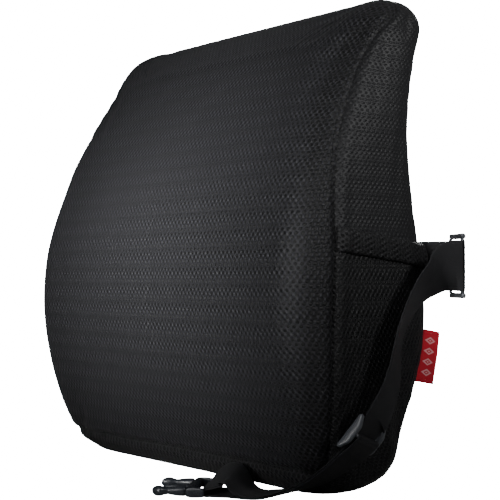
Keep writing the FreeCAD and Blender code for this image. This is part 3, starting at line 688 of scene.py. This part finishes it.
def panel_of(quad):
    """The name of the cover panel that a face belongs to."""
    centre = rest[list(quad)].mean(axis=0)
    on_grid = [q for q in quad if q < ring_count]
    rows = {q // COLUMNS for q in on_grid}
    if len(on_grid) < len(quad) or len(rows) == 1:
        return "bottom_gusset" if centre[2] < HEIGHT / 2 else "front_panel"
    columns = [q % COLUMNS for q in on_grid]
    if max(columns) - min(columns) > COLUMNS / 2:
        columns = [c + COLUMNS if c < COLUMNS / 2 else c for c in columns]
    middle = sum(columns) / len(columns) % COLUMNS
    corner = np.searchsorted((RIGHT_FRONT, RIGHT_BACK, LEFT_BACK, LEFT_FRONT), middle)
    zone = ("front", "right", "back", "left", "front")[corner]
    if zone == "front":
        return "front_panel" if centre[2] > GUSSET_TOP else "bottom_gusset"
    if zone == "back":
        return "back_panel" if centre[2] > ZIP_Z else "bottom_gusset"
    level = "upper" if centre[2] > tab_line(centre[1]) else "lower"
    return f"{zone}_side_panel_{level}"


groups = {}
for quad in faces:
    groups.setdefault(panel_of(quad), []).append(quad)

for name, quads in groups.items():
    used = sorted({k for quad in quads for k in quad})
    renumber = {k: n for n, k in enumerate(used)}
    material, slot = {
        "front_panel": (MESH_FRONT, "mesh_front"), "back_panel": (MESH_FRONT, "mesh_back"),
        "bottom_gusset": (MESH_BOTTOM, "mesh_side"),
    }.get(name, (MESH_SIDE, "mesh_side"))
    weave = uv[used]
    if name == "back_panel":
        weave[:, 0] = -verts[used][:, 0] * WEAVE_SHARE * MM
    piece = mesh_piece(
        name + "_cloth", verts[used], [[renumber[k] for k in quad] for quad in quads],
        material, uvs=weave, opening=opened[used], closed=False)
    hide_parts(name)

# --- foam and liner, under the cover

still = bpy.data.meshes.new("still")
still.from_pydata([tuple(v * MM) for v in rest], [], faces)
still.update()
rest_out = np.zeros(len(rest) * 3)
still.vertices.foreach_get("normal", rest_out)
rest_out = rest_out.reshape(-1, 3)
if np.mean(np.sum(rest_out * (rest - rest.mean(axis=0)), axis=1)) < 0:
    rest_out = -rest_out
lumps = np.array([noise.noise(Vector(v) / 30) for v in rest])[:, None]
bpy.data.meshes.remove(still)
for name, depth, node, material, slot in (
        ("inner_liner_cloth", 5.0, "inner_liner", LINER, "liner"),
        ("foam_core_block", 6.4, "foam_core", FOAM, "foam")):
    moved = rest - rest_out * (depth + 0.4 * lumps)
    moved[:, 2] = np.clip(moved[:, 2], depth, HEIGHT - depth)
    piece = mesh_piece(name, moved, faces, material, closed=False)
    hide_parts(node)

# --- surface walkers


def surface(column, z):
    """A point of the finished cover and its outward direction, at a column and height."""
    row = float(np.interp(z, heights, np.arange(ROWS)))
    i = min(int(row), ROWS - 2)
    share = row - i
    k = int(math.floor(column))
    part = column - k
    spots = []
    for layer in (grid, normal):
        low = layer[i, k % COLUMNS] * (1 - part) + layer[i, (k + 1) % COLUMNS] * part
        high = layer[i + 1, k % COLUMNS] * (1 - part) + layer[i + 1, (k + 1) % COLUMNS] * part
        spots.append(low * (1 - share) + high * share)
    return spots[0], unit(spots[1])


def sweep(name, centres, acrosses, ups, sections, body, material, opening=None):
    """Sections of (across, up) pairs swept through frames, closed at both ends.

    One section may serve the whole length."""
    if isinstance(sections[0], tuple):
        sections = [sections] * len(centres)
    count = len(sections[0])
    lengths = run_lengths(centres)
    verts = []
    uvs = []
    for n, centre in enumerate(centres):
        for across, up in sections[n]:
            verts.append(centre + acrosses[n] * across + ups[n] * up)
            uvs.append((across * MM, lengths[n] * MM))
    faces = grid_faces(len(centres), count, closed=True)
    for base, flip in ((0, False), ((len(centres) - 1) * count, True)):
        for j in range(count // 2 - 1):
            quad = (base + j, base + j + 1, base + count - 2 - j, base + count - 1 - j)
            faces.append(quad[::-1] if flip else quad)
    if opening is not None:
        opening = np.full(len(verts), opening)
    return mesh_piece(name, verts, faces, material, uvs=uvs, opening=opening, body=body)


def flat_section(width, thick):
    """The rounded, thin outline of a strap: along its top, then back along its underside."""
    top = []
    for share in np.linspace(-1, 1, 13):
        bent = math.sin(share * math.pi / 2)
        edge = math.sqrt(max(0.0, 1 - abs(bent) ** 24))
        top.append((width / 2 * bent, thick / 2 * max(edge, 0.12)))
    return top + [(x, -y) for x, y in reversed(top)]


# --- webbing

WEB_WIDE = 38.0
WEB_THICK = 1.3
GLIDE_Z = 171.0


def spline_points(points, name):
    """Points of the NURBS spline through a route's own stations."""
    curve = bpy.data.curves.new(name, "CURVE")
    curve.dimensions = "3D"
    curve.resolution_u = 6
    line = curve.splines.new("NURBS")
    line.points.add(len(points) - 1)
    for point, spot in zip(line.points, points):
        point.co = (*(Vector(spot) * MM), 1.0)
    line.order_u = 3
    line.use_endpoint_u = True
    holder = bpy.data.objects.new(name, curve)
    bpy.context.scene.collection.objects.link(holder)
    bpy.context.view_layer.update()
    flat = bpy.data.meshes.new_from_object(holder)
    found = np.array([tuple(v.co) for v in flat.vertices]) / MM
    bpy.data.objects.remove(holder)
    return found


def square_to(vectors, along):
    """Unit vectors made square to the directions along."""
    return unit(vectors - along * np.sum(vectors * along, axis=1, keepdims=True))


def strap_frames(stations, name):
    """Centre points, across and up directions of a strap along its spline."""
    stations = np.array(stations, dtype=float)
    places = stations[:, :3]
    before = places[np.maximum(np.arange(len(places)) - 1, 0)]
    after = places[np.minimum(np.arange(len(places)) + 1, len(places) - 1)]
    across = square_to(stations[:, 3:], unit(after - before))
    centre = spline_points(places, name + "_line")
    edge = spline_points(places + across * WEB_WIDE / 2, name + "_edge")
    count = min(len(centre), len(edge))
    centre = centre[:count]
    run = unit(np.gradient(centre, axis=0))
    side = square_to(edge[:count] - centre, run)
    return centre, side, np.cross(run, side)


def strap(name, stations, body, node):
    """Webbing along its stations: the piece, its centre line and its length, both in metres."""
    centre, side, up = strap_frames(stations, name)
    section = flat_section(WEB_WIDE, WEB_THICK)
    piece = sweep(name, centre, side, up, section, body, WEBBING)
    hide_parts(node)
    return piece, centre * MM, float(run_lengths(centre)[-1]) * MM


def strap_loop(name, bar, axis, leave, body, radius, span=300):
    """Webbing folded round a bar, starting where the strap leaves it."""
    bar, axis, leave = (np.array(v, dtype=float) for v in (bar, axis, leave))
    axis = unit(axis)
    first = unit(leave - axis * np.dot(leave, axis))
    second = np.cross(axis, first)
    angles = np.radians(np.linspace(-span / 2, span / 2, 40))
    ups = np.array([first * math.cos(a) + second * math.sin(a) for a in angles])
    return sweep(name, bar + ups * radius, np.repeat(axis[None], len(angles), axis=0), ups,
                 flat_section(WEB_WIDE, WEB_THICK * 0.9), body, WEBBING)


NEAR_BAR = (218.103, 57.144, 171)
PLUG_BAR = (84, -78.55, 2.85)
PLUG_ACROSS = (0.671, -0.741, 0)
HIGH_BAR = (204.279, -29.739, 48.157)
LOWER_ACROSS = (0.36, -0.885, 0.29)
RIGHT_ROUTE = [
    (219.604, 56.15, 171, 0, 0, 1), (218.499, 54.483, 171, 0, 0, 1),
    (214.8, 50, 170.9, 0.03, -0.04, 1), (211.6, 44, 168.2, 0.22, -0.3, 0.93),
    (208.5, 38.95, 163.5, 0.4, -0.52, 0.75), (205, 29.45, 156, 0.5, -0.66, 0.55),
    (203, 21.45, 146, 0.55, -0.72, 0.42), (202.2, 14.95, 136, 0.58, -0.75, 0.35),
    (202, 9.15, 126, 0.6, -0.75, 0.29), (202, 4.95, 114, 0.58, -0.78, 0.21),
    (202, 2.75, 102, 0.53, -0.83, 0.15), (202, 0.55, 90, 0.45, -0.87, 0.18),
    (205.5, -8.55, 76.5, 0.43, -0.86, 0.26), (208.753, -22.605, 63.246, *LOWER_ACROSS),
    (207.84, -23.594, 61.506, *LOWER_ACROSS), (201.7, -30.25, 49.8, *LOWER_ACROSS),
    (195.56, -36.906, 38.094, *LOWER_ACROSS), (194.647, -37.895, 36.354, *LOWER_ACROSS),
    (185.5, -47.05, 26, 0.4, -0.9, 0.2), (173.5, -53.05, 17, 0.35, -0.93, 0.12),
    (157, -57.05, 10.5, 0.3, -0.95, 0.05), (140, -60.05, 5.5, 0.3, -0.95, 0),
    (127, -62.05, 4.2, 0.38, -0.92, 0), (114, -63.55, 3.6, 0.55, -0.83, 0),
    (105, -64.45, 9, 0.60, -0.78, -0.12), (97.5, -66.6, 15.5, 0.58, -0.66, -0.42),
    (90.6, -72.58, 11.5, 0.62, -0.69, -0.3), (84, -78.55, 5.05, *PLUG_ACROSS)]
RETURN_ROUTE = [
    (84, -78.55, 0.75, *PLUG_ACROSS), (94.378, -69.154, 0.75, *PLUG_ACROSS),
    (103, -64.55, 1.35, 0.64, -0.77, 0), (113.816, -63.672, 2.167, 0.55, -0.83, 0),
    (127.1, -62.009, 2.754, 0.38, -0.92, 0), (140.283, -59.961, 4.081, 0.3, -0.95, 0),
    (157.457, -56.978, 9.126, 0.3, -0.95, 0.05), (174.168, -52.964, 15.716, 0.35, -0.93, 0.12),
    (186.411, -46.894, 24.883, 0.4, -0.9, 0.2), (195.711, -37.783, 35.375, *LOWER_ACROSS),
    (198.719, -35.619, 37.98, *LOWER_ACROSS), (205.776, -29.443, 47.203, *LOWER_ACROSS)]
LEFT_ROUTE = [
    (-206.64, 89.668, 171, 0, 0, 1), (-207.04, 93.668, 171, 0, 0, 1),
    (-207.64, 98.668, 169.5, 0.25, 0, 0.97), (-208.14, 104.668, 165, 0.6, 0, 0.78),
    (-207.64, 109.668, 154, 0.85, 0, 0.45), (-206.64, 111.168, 138, 0.97, 0, 0.15),
    (-206.64, 111.668, 120, 1, 0, 0), (-206.64, 111.668, 98, 1, 0, 0)]
long_strap, long_line, long_run = strap(
    "right_strap_webbing", RIGHT_ROUTE, "right_strap", "right_strap")
under_strap, _, under_run = strap(
    "strap_return_webbing", RETURN_ROUTE, "right_strap", "strap_return")
left_strap, _, left_run = strap("left_strap_webbing", LEFT_ROUTE, "left_strap", "left_strap")

back_y = faces_at(GLIDE_Z)[1] + 0.95
ANCHOR_LEAN = (0, -0.156, 0.988)
BAR_LOOP, THICK_BAR_LOOP = 1.8, 2.2


def anchor_route(side, bar):
    """From the back of the cover, beside its seam, out to the glide's bar."""
    route = [(side * x, back_y + lift, GLIDE_Z, *ANCHOR_LEAN) for x, lift in (
        (163, 0), (169, 0), (175, 0), (179, 0.8), (184, 3))]
    start = np.array(route[-1][:2])
    run = unit(bar - start)
    turned = np.array([run[1], -run[0]])
    end = bar + turned * BAR_LOOP
    route.append((*((start + end) / 2), GLIDE_Z, 0, -0.06, 1))
    route.append((*end, GLIDE_Z, 0, 0, 1))
    return route, turned


for side_name, side, bar in (("right", 1, (196.601, 69.502)), ("left", -1, (-200.005, 66.347))):
    route, turned = anchor_route(side, np.array(bar))
    name = f"{side_name}_anchor_webbing"
    piece, _, run = strap(name + "_strap", route, "cushion", name)
    loop = strap_loop(
        name + "_loop", (*bar, GLIDE_Z), (0, 0, 1), (*(-turned), 0), "cushion", BAR_LOOP)

top_loop, plug_loop, high_loop, left_top_loop, left_low_loop = (strap_loop(*loop) for loop in (
    ("right_strap_top_loop", NEAR_BAR, (0, 0, 1), (-0.8, 0.6, 0), "right_strap", BAR_LOOP),
    ("right_strap_plug_loop", PLUG_BAR, PLUG_ACROSS, (-0.741, -0.671, 0),
     "right_strap", THICK_BAR_LOOP, 200),
    ("strap_return_loop", HIGH_BAR, LOWER_ACROSS, (0.4, 0.45, 0.8), "right_strap", BAR_LOOP),
    ("left_strap_top_loop", (-208.44, 89.668, 171), (0, 0, 1), (0, -1, 0), "left_strap", BAR_LOOP),
    ("left_strap_low_loop", (-206.64, 113.868, 98), (1, 0, 0), (0, 0, -1),
     "left_strap", THICK_BAR_LOOP, 220)))

# --- side tabs

TAB_HALF = 9.0
TAB_THICK = 3.6
TAB_END = 0.96


def tab_section(share):
    """A tab's rolled section at a share of its length: swollen near its end, with a fold line."""
    swell = 1 + 0.55 * math.exp(-((share - 0.95) / 0.06) ** 2)
    swell -= 0.25 * math.exp(-(share / 0.05) ** 2)
    swell *= 1 + 0.05 * noise.noise(Vector((share * 14, 3.1, 0)))
    tall = TAB_HALF * (1 + 0.04 * noise.noise(Vector((share * 9, 0, 5))))
    if share > TAB_END:
        tall *= math.sqrt(max(0.05, 1 - ((share - TAB_END) / (1 - TAB_END)) ** 2))
    section = []
    for angle in np.linspace(-math.pi / 2, 1.5 * math.pi, 28, endpoint=False):
        x = math.cos(angle)
        across = tall * bulge(math.sin(angle), 0.62)
        lift = TAB_THICK * swell * abs(x) ** 0.7 if x > 0 else -0.5 * abs(x)
        fold = 0.5 * math.exp(-((across + 5.4) / 0.9) ** 2) if x > 0 else 0
        section.append((across, 0.2 + lift - fold))
    return section


for side_name, first, last in (
        ("right", RIGHT_FRONT + 0.6, RIGHT_BACK - 1.0),
        ("left", LEFT_FRONT - 0.6, LEFT_BACK + 1.0)):
    centres, ups, outs = [], [], []
    stops = np.linspace(first, last, 60)
    for column in stops:
        place_at, out = surface(column, tab_line(surface(column, TAB_Z)[0][1]))
        above, _ = surface(column, place_at[2] + 8)
        below, _ = surface(column, place_at[2] - 8)
        centres.append(place_at)
        ups.append(unit(above - below))
        outs.append(out)
    sections = [tab_section(n / (len(stops) - 1)) for n in range(len(stops))]
    tab = sweep(f"{side_name}_side_tab_roll", np.array(centres), np.array(ups), np.array(outs),
                sections, "cushion", MESH_SIDE, opening=0.8)
    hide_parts(f"{side_name}_side_tab")

# --- stitching

STITCH_RINGS = ((0.0, 0.25), (0.12, 0.8), (0.5, 1.0), (0.88, 0.8), (1.0, 0.25))
END_SINK = 0.45


def stitches(name, lines, length, gap, radius, lift=0.15):
    """Short rounded stitches of thread laid along lines of (point, outward) pairs."""
    verts, found = [], []
    for points, outs in lines:
        lengths = run_lengths(points)

        def at(run, values):
            return np.array([np.interp(run, lengths, values[:, axis]) for axis in range(3)])

        start = gap
        while start + length < lengths[-1]:
            rings = []
            for share, fat in STITCH_RINGS:
                run = start + share * length
                out = unit(at(run, outs))
                side = np.cross(unit(at(run + 0.2, points) - at(run - 0.2, points)), out)
                sink = lift - (END_SINK if share in (0.0, 1.0) else 0.0)
                rings.append(rounded_ring(at(run, points) + out * sink, side, out,
                                          radius * fat, radius * fat, 1.0, 6))
            add_tube(verts, found, rings)
            start += length + gap
    return mesh_piece(name, verts, found, THREAD)


def seam_line(places):
    """The points and outward directions of the cover at (column, height) pairs."""
    walked = [surface(column, z) for column, z in places]
    return np.array([w[0] for w in walked]), np.array([w[1] for w in walked])


seam_lines = [seam_line((column, z) for z in np.arange(24, 366, 2.0)) for column in (
    RIGHT_FRONT - 1.4, LEFT_FRONT + 1.4, RIGHT_BACK + 1.4, LEFT_BACK - 1.4)]
gusset_columns = np.arange(LEFT_FRONT + 1.0, COLUMNS + RIGHT_FRONT - 1.0, 1.0)
seam_lines.append(seam_line((column % COLUMNS, 23.2) for column in gusset_columns))
stitches("cover_seam_stitches", seam_lines, 2.6, 0.8, 0.28)

# Bar tacks through the anchors are close zigzag rows.
tack_lines = []
tall = np.linspace(-15, 15, 31)
zigzag = np.where(np.arange(31) % 2, 1.0, -1.0)
for side in (1, -1):
    for x in (165.0, 173.0):
        points = np.stack([side * x + zigzag, np.full(31, back_y + 0.8), GLIDE_Z + tall], axis=1)
        points[:, 1] -= tall * 0.158
        tack_lines.append((points, np.repeat(np.array([[0.0, 1.0, 0.158]]), 31, axis=0)))
bar_tacks = stitches("bar_tack_threads", tack_lines, 1.9, 0.15, 0.3, lift=0.0)
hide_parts("bar_tacks")

# --- zipper

ZIP_HALF = 138


def back_column(x):
    """The grid column on the back at an x."""
    columns = np.arange(RIGHT_BACK, LEFT_BACK + 1)
    row = int(np.argmin(np.abs(np.array(heights) - ZIP_Z)))
    return float(np.interp(-x, -grid[row, columns, 0], columns))


for name, low, high in (("zipper_tape_upper", 2.4, 13.0), ("zipper_tape_lower", -13.0, -2.4)):
    spots, uvs = [], []
    xs = np.linspace(-ZIP_HALF, ZIP_HALF, 139)
    tall = np.linspace(low, high, 9)
    for ups, lift in ((tall, 0.95), (tall[::-1], 0.25)):
        for up in ups:
            for x in xs:
                spot, out = surface(back_column(x), ZIP_Z + up)
                wave = 0.18 * math.sin(x / 3.1 + up) * noise.noise(Vector((x / 17, up / 6, 1)))
                spots.append(spot + out * (lift + wave))
                uvs.append((x * MM, up * MM))
    found = two_layer_faces(len(tall), len(xs))
    piece = mesh_piece(name + "_cloth", spots, found, TAPE, uvs=uvs)
    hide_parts(name)

dress("zipper_teeth", TEETH, 0.25)
for name in ("zipper_stops", "zipper_slider", "zipper_pull"):
    dress(name, METAL, 0.4)

# --- plastics

RAIL_FLAT, RAIL_END, RAIL_LOW = 5.0, 14.0, -2.5
RAIL_MIDDLE_Y, RAIL_HALF = 22.25, 2.1
RAIL_TAPER = 2.2
BAR_RADIUS = 1.1
BAR_END, FLARE_START = 20.4, 19.0


def rail_top(x):
    """The arched top of a glide's rail."""
    share = min(max((abs(x) - RAIL_FLAT) / (RAIL_END - RAIL_FLAT), 0.0), 1.0)
    return 0.8 + 3.4 * (1 - share * share * (3 - 2 * share))


def glide_mesh(name, origin, x_dir, z_dir, body):
    """A tri-glide: two arched, rounded rails joined by three round bars."""
    x_dir = unit(np.array(x_dir, dtype=float))
    y_dir = unit(np.cross(np.array(z_dir, dtype=float), x_dir))
    z_dir = np.cross(x_dir, y_dir)
    verts, found = [], []

    def world(x, y, z):
        return np.array(origin, dtype=float) + x_dir * x + y_dir * y + z_dir * z

    for side in (-1, 1):
        rings = []
        for share in np.linspace(-1, 1, 33):
            x = RAIL_END * math.sin(share * math.pi / 2)
            high = rail_top(x)
            near_end = max(0.0, (abs(x) - RAIL_END + RAIL_TAPER) / RAIL_TAPER)
            slim = math.sqrt(max(0.02, 1 - near_end ** 2))
            rings.append(rounded_ring(
                world(x, side * RAIL_MIDDLE_Y, (RAIL_LOW + high) / 2), y_dir, z_dir,
                RAIL_HALF * (0.55 + 0.45 * slim), (high - RAIL_LOW) / 2 * slim, 0.6, 20))
        add_tube(verts, found, rings)
    for x, z in ((-12.4, -1.3), (0.0, 3.7), (12.4, -1.3)):
        rings = []
        for y in np.linspace(-BAR_END, BAR_END, 15):
            flare = max(0.0, (abs(y) - FLARE_START) / (BAR_END - FLARE_START))
            radius = BAR_RADIUS * (1 + 0.3 * flare)
            rings.append(rounded_ring(world(x, y, z), x_dir, z_dir, radius, radius, 1.0, 20))
        add_tube(verts, found, rings)
    piece = mesh_piece(name + "_moulding", verts, found, GLIDE, body=body)
    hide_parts(name)
    return piece


glide_mesh("right_upper_glide", (208, 64.45, 171), (0.87, -0.5, 0), (0.5, 0.87, 0), "right_strap")
glide_mesh("left_upper_glide", (-203, 78.45, 171), (-0.34, 0.94, 0), (0.94, 0.34, 0), "left_strap")
lower_glide = glide_mesh("lower_glide", (201.201, -30.349, 50.118), (-0.4149, -0.4497, -0.791),
                         (0.8319, 0.1647, -0.53), "lower_glide")
PLUG_ALONG = np.array((-0.741, -0.671, 0.0))
PLUG_SIDE = np.array(PLUG_ACROSS)
UP = np.array((0.0, 0.0, 1.0))
ARM_MIDDLE = 3.2
# Along the arm, sideways centre, half width, half height: a broad root, a neck and a bulb.
ARM_STATIONS = [(reach, offset, ARM_MIDDLE, wide, tall) for reach, offset, wide, tall in (
    (0, 0, 4.2, 3.9), (5, 0.4, 4.2, 3.8), (10, 0.8, 3.6, 3.2), (13.5, 1.2, 3.0, 2.6),
    (16, 1.6, 3.6, 2.9), (18.5, 2.0, 4.6, 3.7), (21, 1.8, 4.4, 3.9), (23.5, 1.2, 3.6, 3.5),
    (25.3, 0.6, 2.2, 2.2), (26, 0.4, 0.9, 0.9))]


def moulded_part(name, origin, bars):
    """A plastic part made of closed, rounded bars, in place of its CAD node.

    A bar has a length direction, a side direction, a squareness, and stations of reach,
    offset, height, half width and half height."""
    verts, found = [], []
    for length_dir, side_dir, square, stations in bars:
        stations = np.array(stations, dtype=float)
        reach = np.interp(np.linspace(0, 1, 3 * len(stations) - 2),
                          np.linspace(0, 1, len(stations)), stations[:, 0])
        rings = []
        for x in reach:
            offset, high, wide, tall = (float(np.interp(x, stations[:, 0], stations[:, k]))
                                        for k in (1, 2, 3, 4))
            centre = np.array(origin) + length_dir * x + side_dir * offset + UP * high
            rings.append(rounded_ring(centre, side_dir, UP, wide, tall, square, 24))
        add_tube(verts, found, rings)
    piece = mesh_piece(name + "_moulding", verts, found, PLASTIC, body=name)
    smooth = piece.modifiers.new("smooth", "SUBSURF")
    smooth.levels = smooth.render_levels = 1
    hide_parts(name)
    return piece


PLUG_RAIL, PLUG_MIDDLE = 21.7, 1.35
plug_bars = [(PLUG_ALONG, PLUG_SIDE, 0.6, [
    (reach, side * PLUG_RAIL, PLUG_MIDDLE, wide, tall) for reach, wide, tall in (
        (-2, 0.6, 1.6), (-1.5, 1.4, 2.9), (0, 1.7, 3.6),
        (4, 1.75, 3.9), (9, 1.75, 3.9), (11, 1.2, 3.2))])
    for side in (-1, 1)]
plug_bars += [
    # the cross block, the strap bar and the tongue
    (PLUG_SIDE, PLUG_ALONG, 0.6, [
        (reach, offset, PLUG_MIDDLE, wide, tall) for reach, offset, wide, tall in (
            (-23.5, 9.4, 1.2, 2.0), (-23, 9.4, 2.2, 3.3), (-21, 9.4, 2.8, 3.9), (0, 9.6, 3.0, 4.0),
            (21, 9.4, 2.8, 3.9), (23, 9.4, 2.2, 3.3), (23.5, 9.4, 1.2, 2.0))]),
    (PLUG_SIDE, PLUG_ALONG, 1.0, [(x, 0, 0, 1.5, 1.5) for x in (-21, 0, 21)]),
    (PLUG_ALONG, PLUG_SIDE, 0.7, [
        (reach, 0, PLUG_MIDDLE, wide, tall) for reach, wide, tall in (
            (11, 3.4, 2.3), (14, 3.0, 2.0), (29, 2.8, 1.9), (31.3, 1.8, 1.4), (32, 0.7, 0.6))])]
plug_body = moulded_part("buckle_plug", PLUG_BAR, plug_bars)
near_arm, far_arm = (
    moulded_part(name, root, [(PLUG_ALONG, PLUG_SIDE * side, 0.75, ARM_STATIONS)])
    for name, root, side in (("plug_arm_near", (85.621, -98.666, 1.0), 1),
                             ("plug_arm_far", (64.143, -74.945, 1.0), -1)))
dress("buckle_socket", PLASTIC, 0.9)

# --- label

LABEL_LONG, LABEL_HALF = 19, 20.5
LABEL_ROOT = np.array((175.474, 54.649, 103.0))
LABEL_UP = unit(np.array((0, 0.185, 0.983)))
LABEL_OUT = np.array((0.197, 0.963, -0.182))
LABEL_OUT = unit(LABEL_OUT - LABEL_UP * np.dot(LABEL_OUT, LABEL_UP))
LABEL_FACE = np.cross(LABEL_OUT, LABEL_UP)
spots, uvs = [], []
outs = np.linspace(0.2, LABEL_LONG, 24)
talls = np.linspace(-LABEL_HALF, LABEL_HALF, 42)
for side, reaches in ((1, outs), (-1, outs[::-1])):
    for reach in reaches:
        thick = 0.35 if reach < 18.6 else 0.2
        for tall in talls:
            share = reach / LABEL_LONG
            bow = 0.9 * math.sin(share * math.pi) + 0.5 * math.sin(tall / 8 + 1) * share ** 2
            spots.append(LABEL_ROOT + LABEL_OUT * reach + LABEL_UP * tall
                         + LABEL_FACE * (bow + side * thick))
            uvs.append(((reach - 10) * MM, tall * MM))
label = mesh_piece("side_label_ribbon", spots, two_layer_faces(len(outs), len(talls)), LABEL,
                   uvs=uvs, body="side_label")
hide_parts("side_label")

# --- floor and light

SEEN_WHITE = 30.0
floor_mesh = bpy.data.meshes.new("floor")
floor_mesh.from_pydata([(-6, -6, 0), (6, -6, 0), (6, 6, 0), (-6, 6, 0)], [], [(0, 1, 2, 3)])
floor = bpy.data.objects.new("floor", floor_mesh)
floor.location.z = -0.0004
bpy.context.scene.collection.objects.link(floor)
pale = Shader("pale_floor")
camera_ray = pale.output(pale.node("ShaderNodeLightPath"), "Is Camera Ray")
pale.bsdf.inputs["Emission Color"].default_value = (1, 1, 1, 1)
pale.plug(camera_ray * SEEN_WHITE, pale.bsdf.inputs["Emission Strength"])
floor_mesh.materials.append(pale.finish((0.22, 0.22, 0.22, 1), 0.9, specular=0.1))

world = bpy.data.worlds.new("white")
world.use_nodes = True
sky = world.node_tree
seen = sky.nodes["Background"]
lit = sky.nodes.new("ShaderNodeBackground")
for background, color, strength in (
        (seen, (1, 1, 1, 1), SEEN_WHITE), (lit, (0.93, 0.96, 1, 1), 0.06)):
    background.inputs["Color"].default_value = color
    background.inputs["Strength"].default_value = strength
choose = sky.nodes.new("ShaderNodeMixShader")
for source, socket in (
        (sky.nodes.new("ShaderNodeLightPath").outputs["Is Camera Ray"], choose.inputs[0]),
        (lit.outputs[0], choose.inputs[1]), (seen.outputs[0], choose.inputs[2]),
        (choose.outputs[0], sky.nodes["World Output"].inputs["Surface"])):
    sky.links.new(source, socket)
bpy.context.scene.world = world


def lamp(name, kind, at, target, watts, **settings):
    data = bpy.data.lights.new(name, kind)
    data.energy = watts
    for key, value in settings.items():
        setattr(data, key, value)
    made = bpy.data.objects.new(name, data)
    aim = Vector(target) - Vector(at)
    made.matrix_world = Matrix.Translation(at) @ aim.to_track_quat("-Z", "Y").to_matrix().to_4x4()
    bpy.context.scene.collection.objects.link(made)


for name, at, target, cone, watts, radius in (
        ("key_left", (-0.22, -1.38, 0.40), (-0.06, -0.06, 0.215), 16.5, 56, 0.15),
        ("key_right", (0.32, -1.35, 0.40), (0.0, -0.06, 0.205), 15.5, 255, 0.15),
        ("side", (1.25, 0.1, 0.85), (0.19, 0.02, 0.34), 26, 55, 0.15),
        ("label_light", (0.9, -0.95, 0.34), (0.222, 0.068, 0.124), 3.6, 50, 0.02)):
    lamp(name, "SPOT", at, target, watts, spot_size=math.radians(cone), spot_blend=1.0,
         shadow_soft_size=radius)
for name, at, target, size, watts in (
        ("fill", (0.75, -1.35, 0.9), (0.1, -0.05, 0.3), 0.6, 3.2),
        ("back_left", (-0.75, 1.25, 0.75), (0, 0.06, 0.2), 0.6, 13),
        ("back_low", (-0.6, 1.3, 0.3), (0, 0.06, 0.16), 0.5, 4)):
    lamp(name, "AREA", at, target, watts, shape="DISK", size=size)
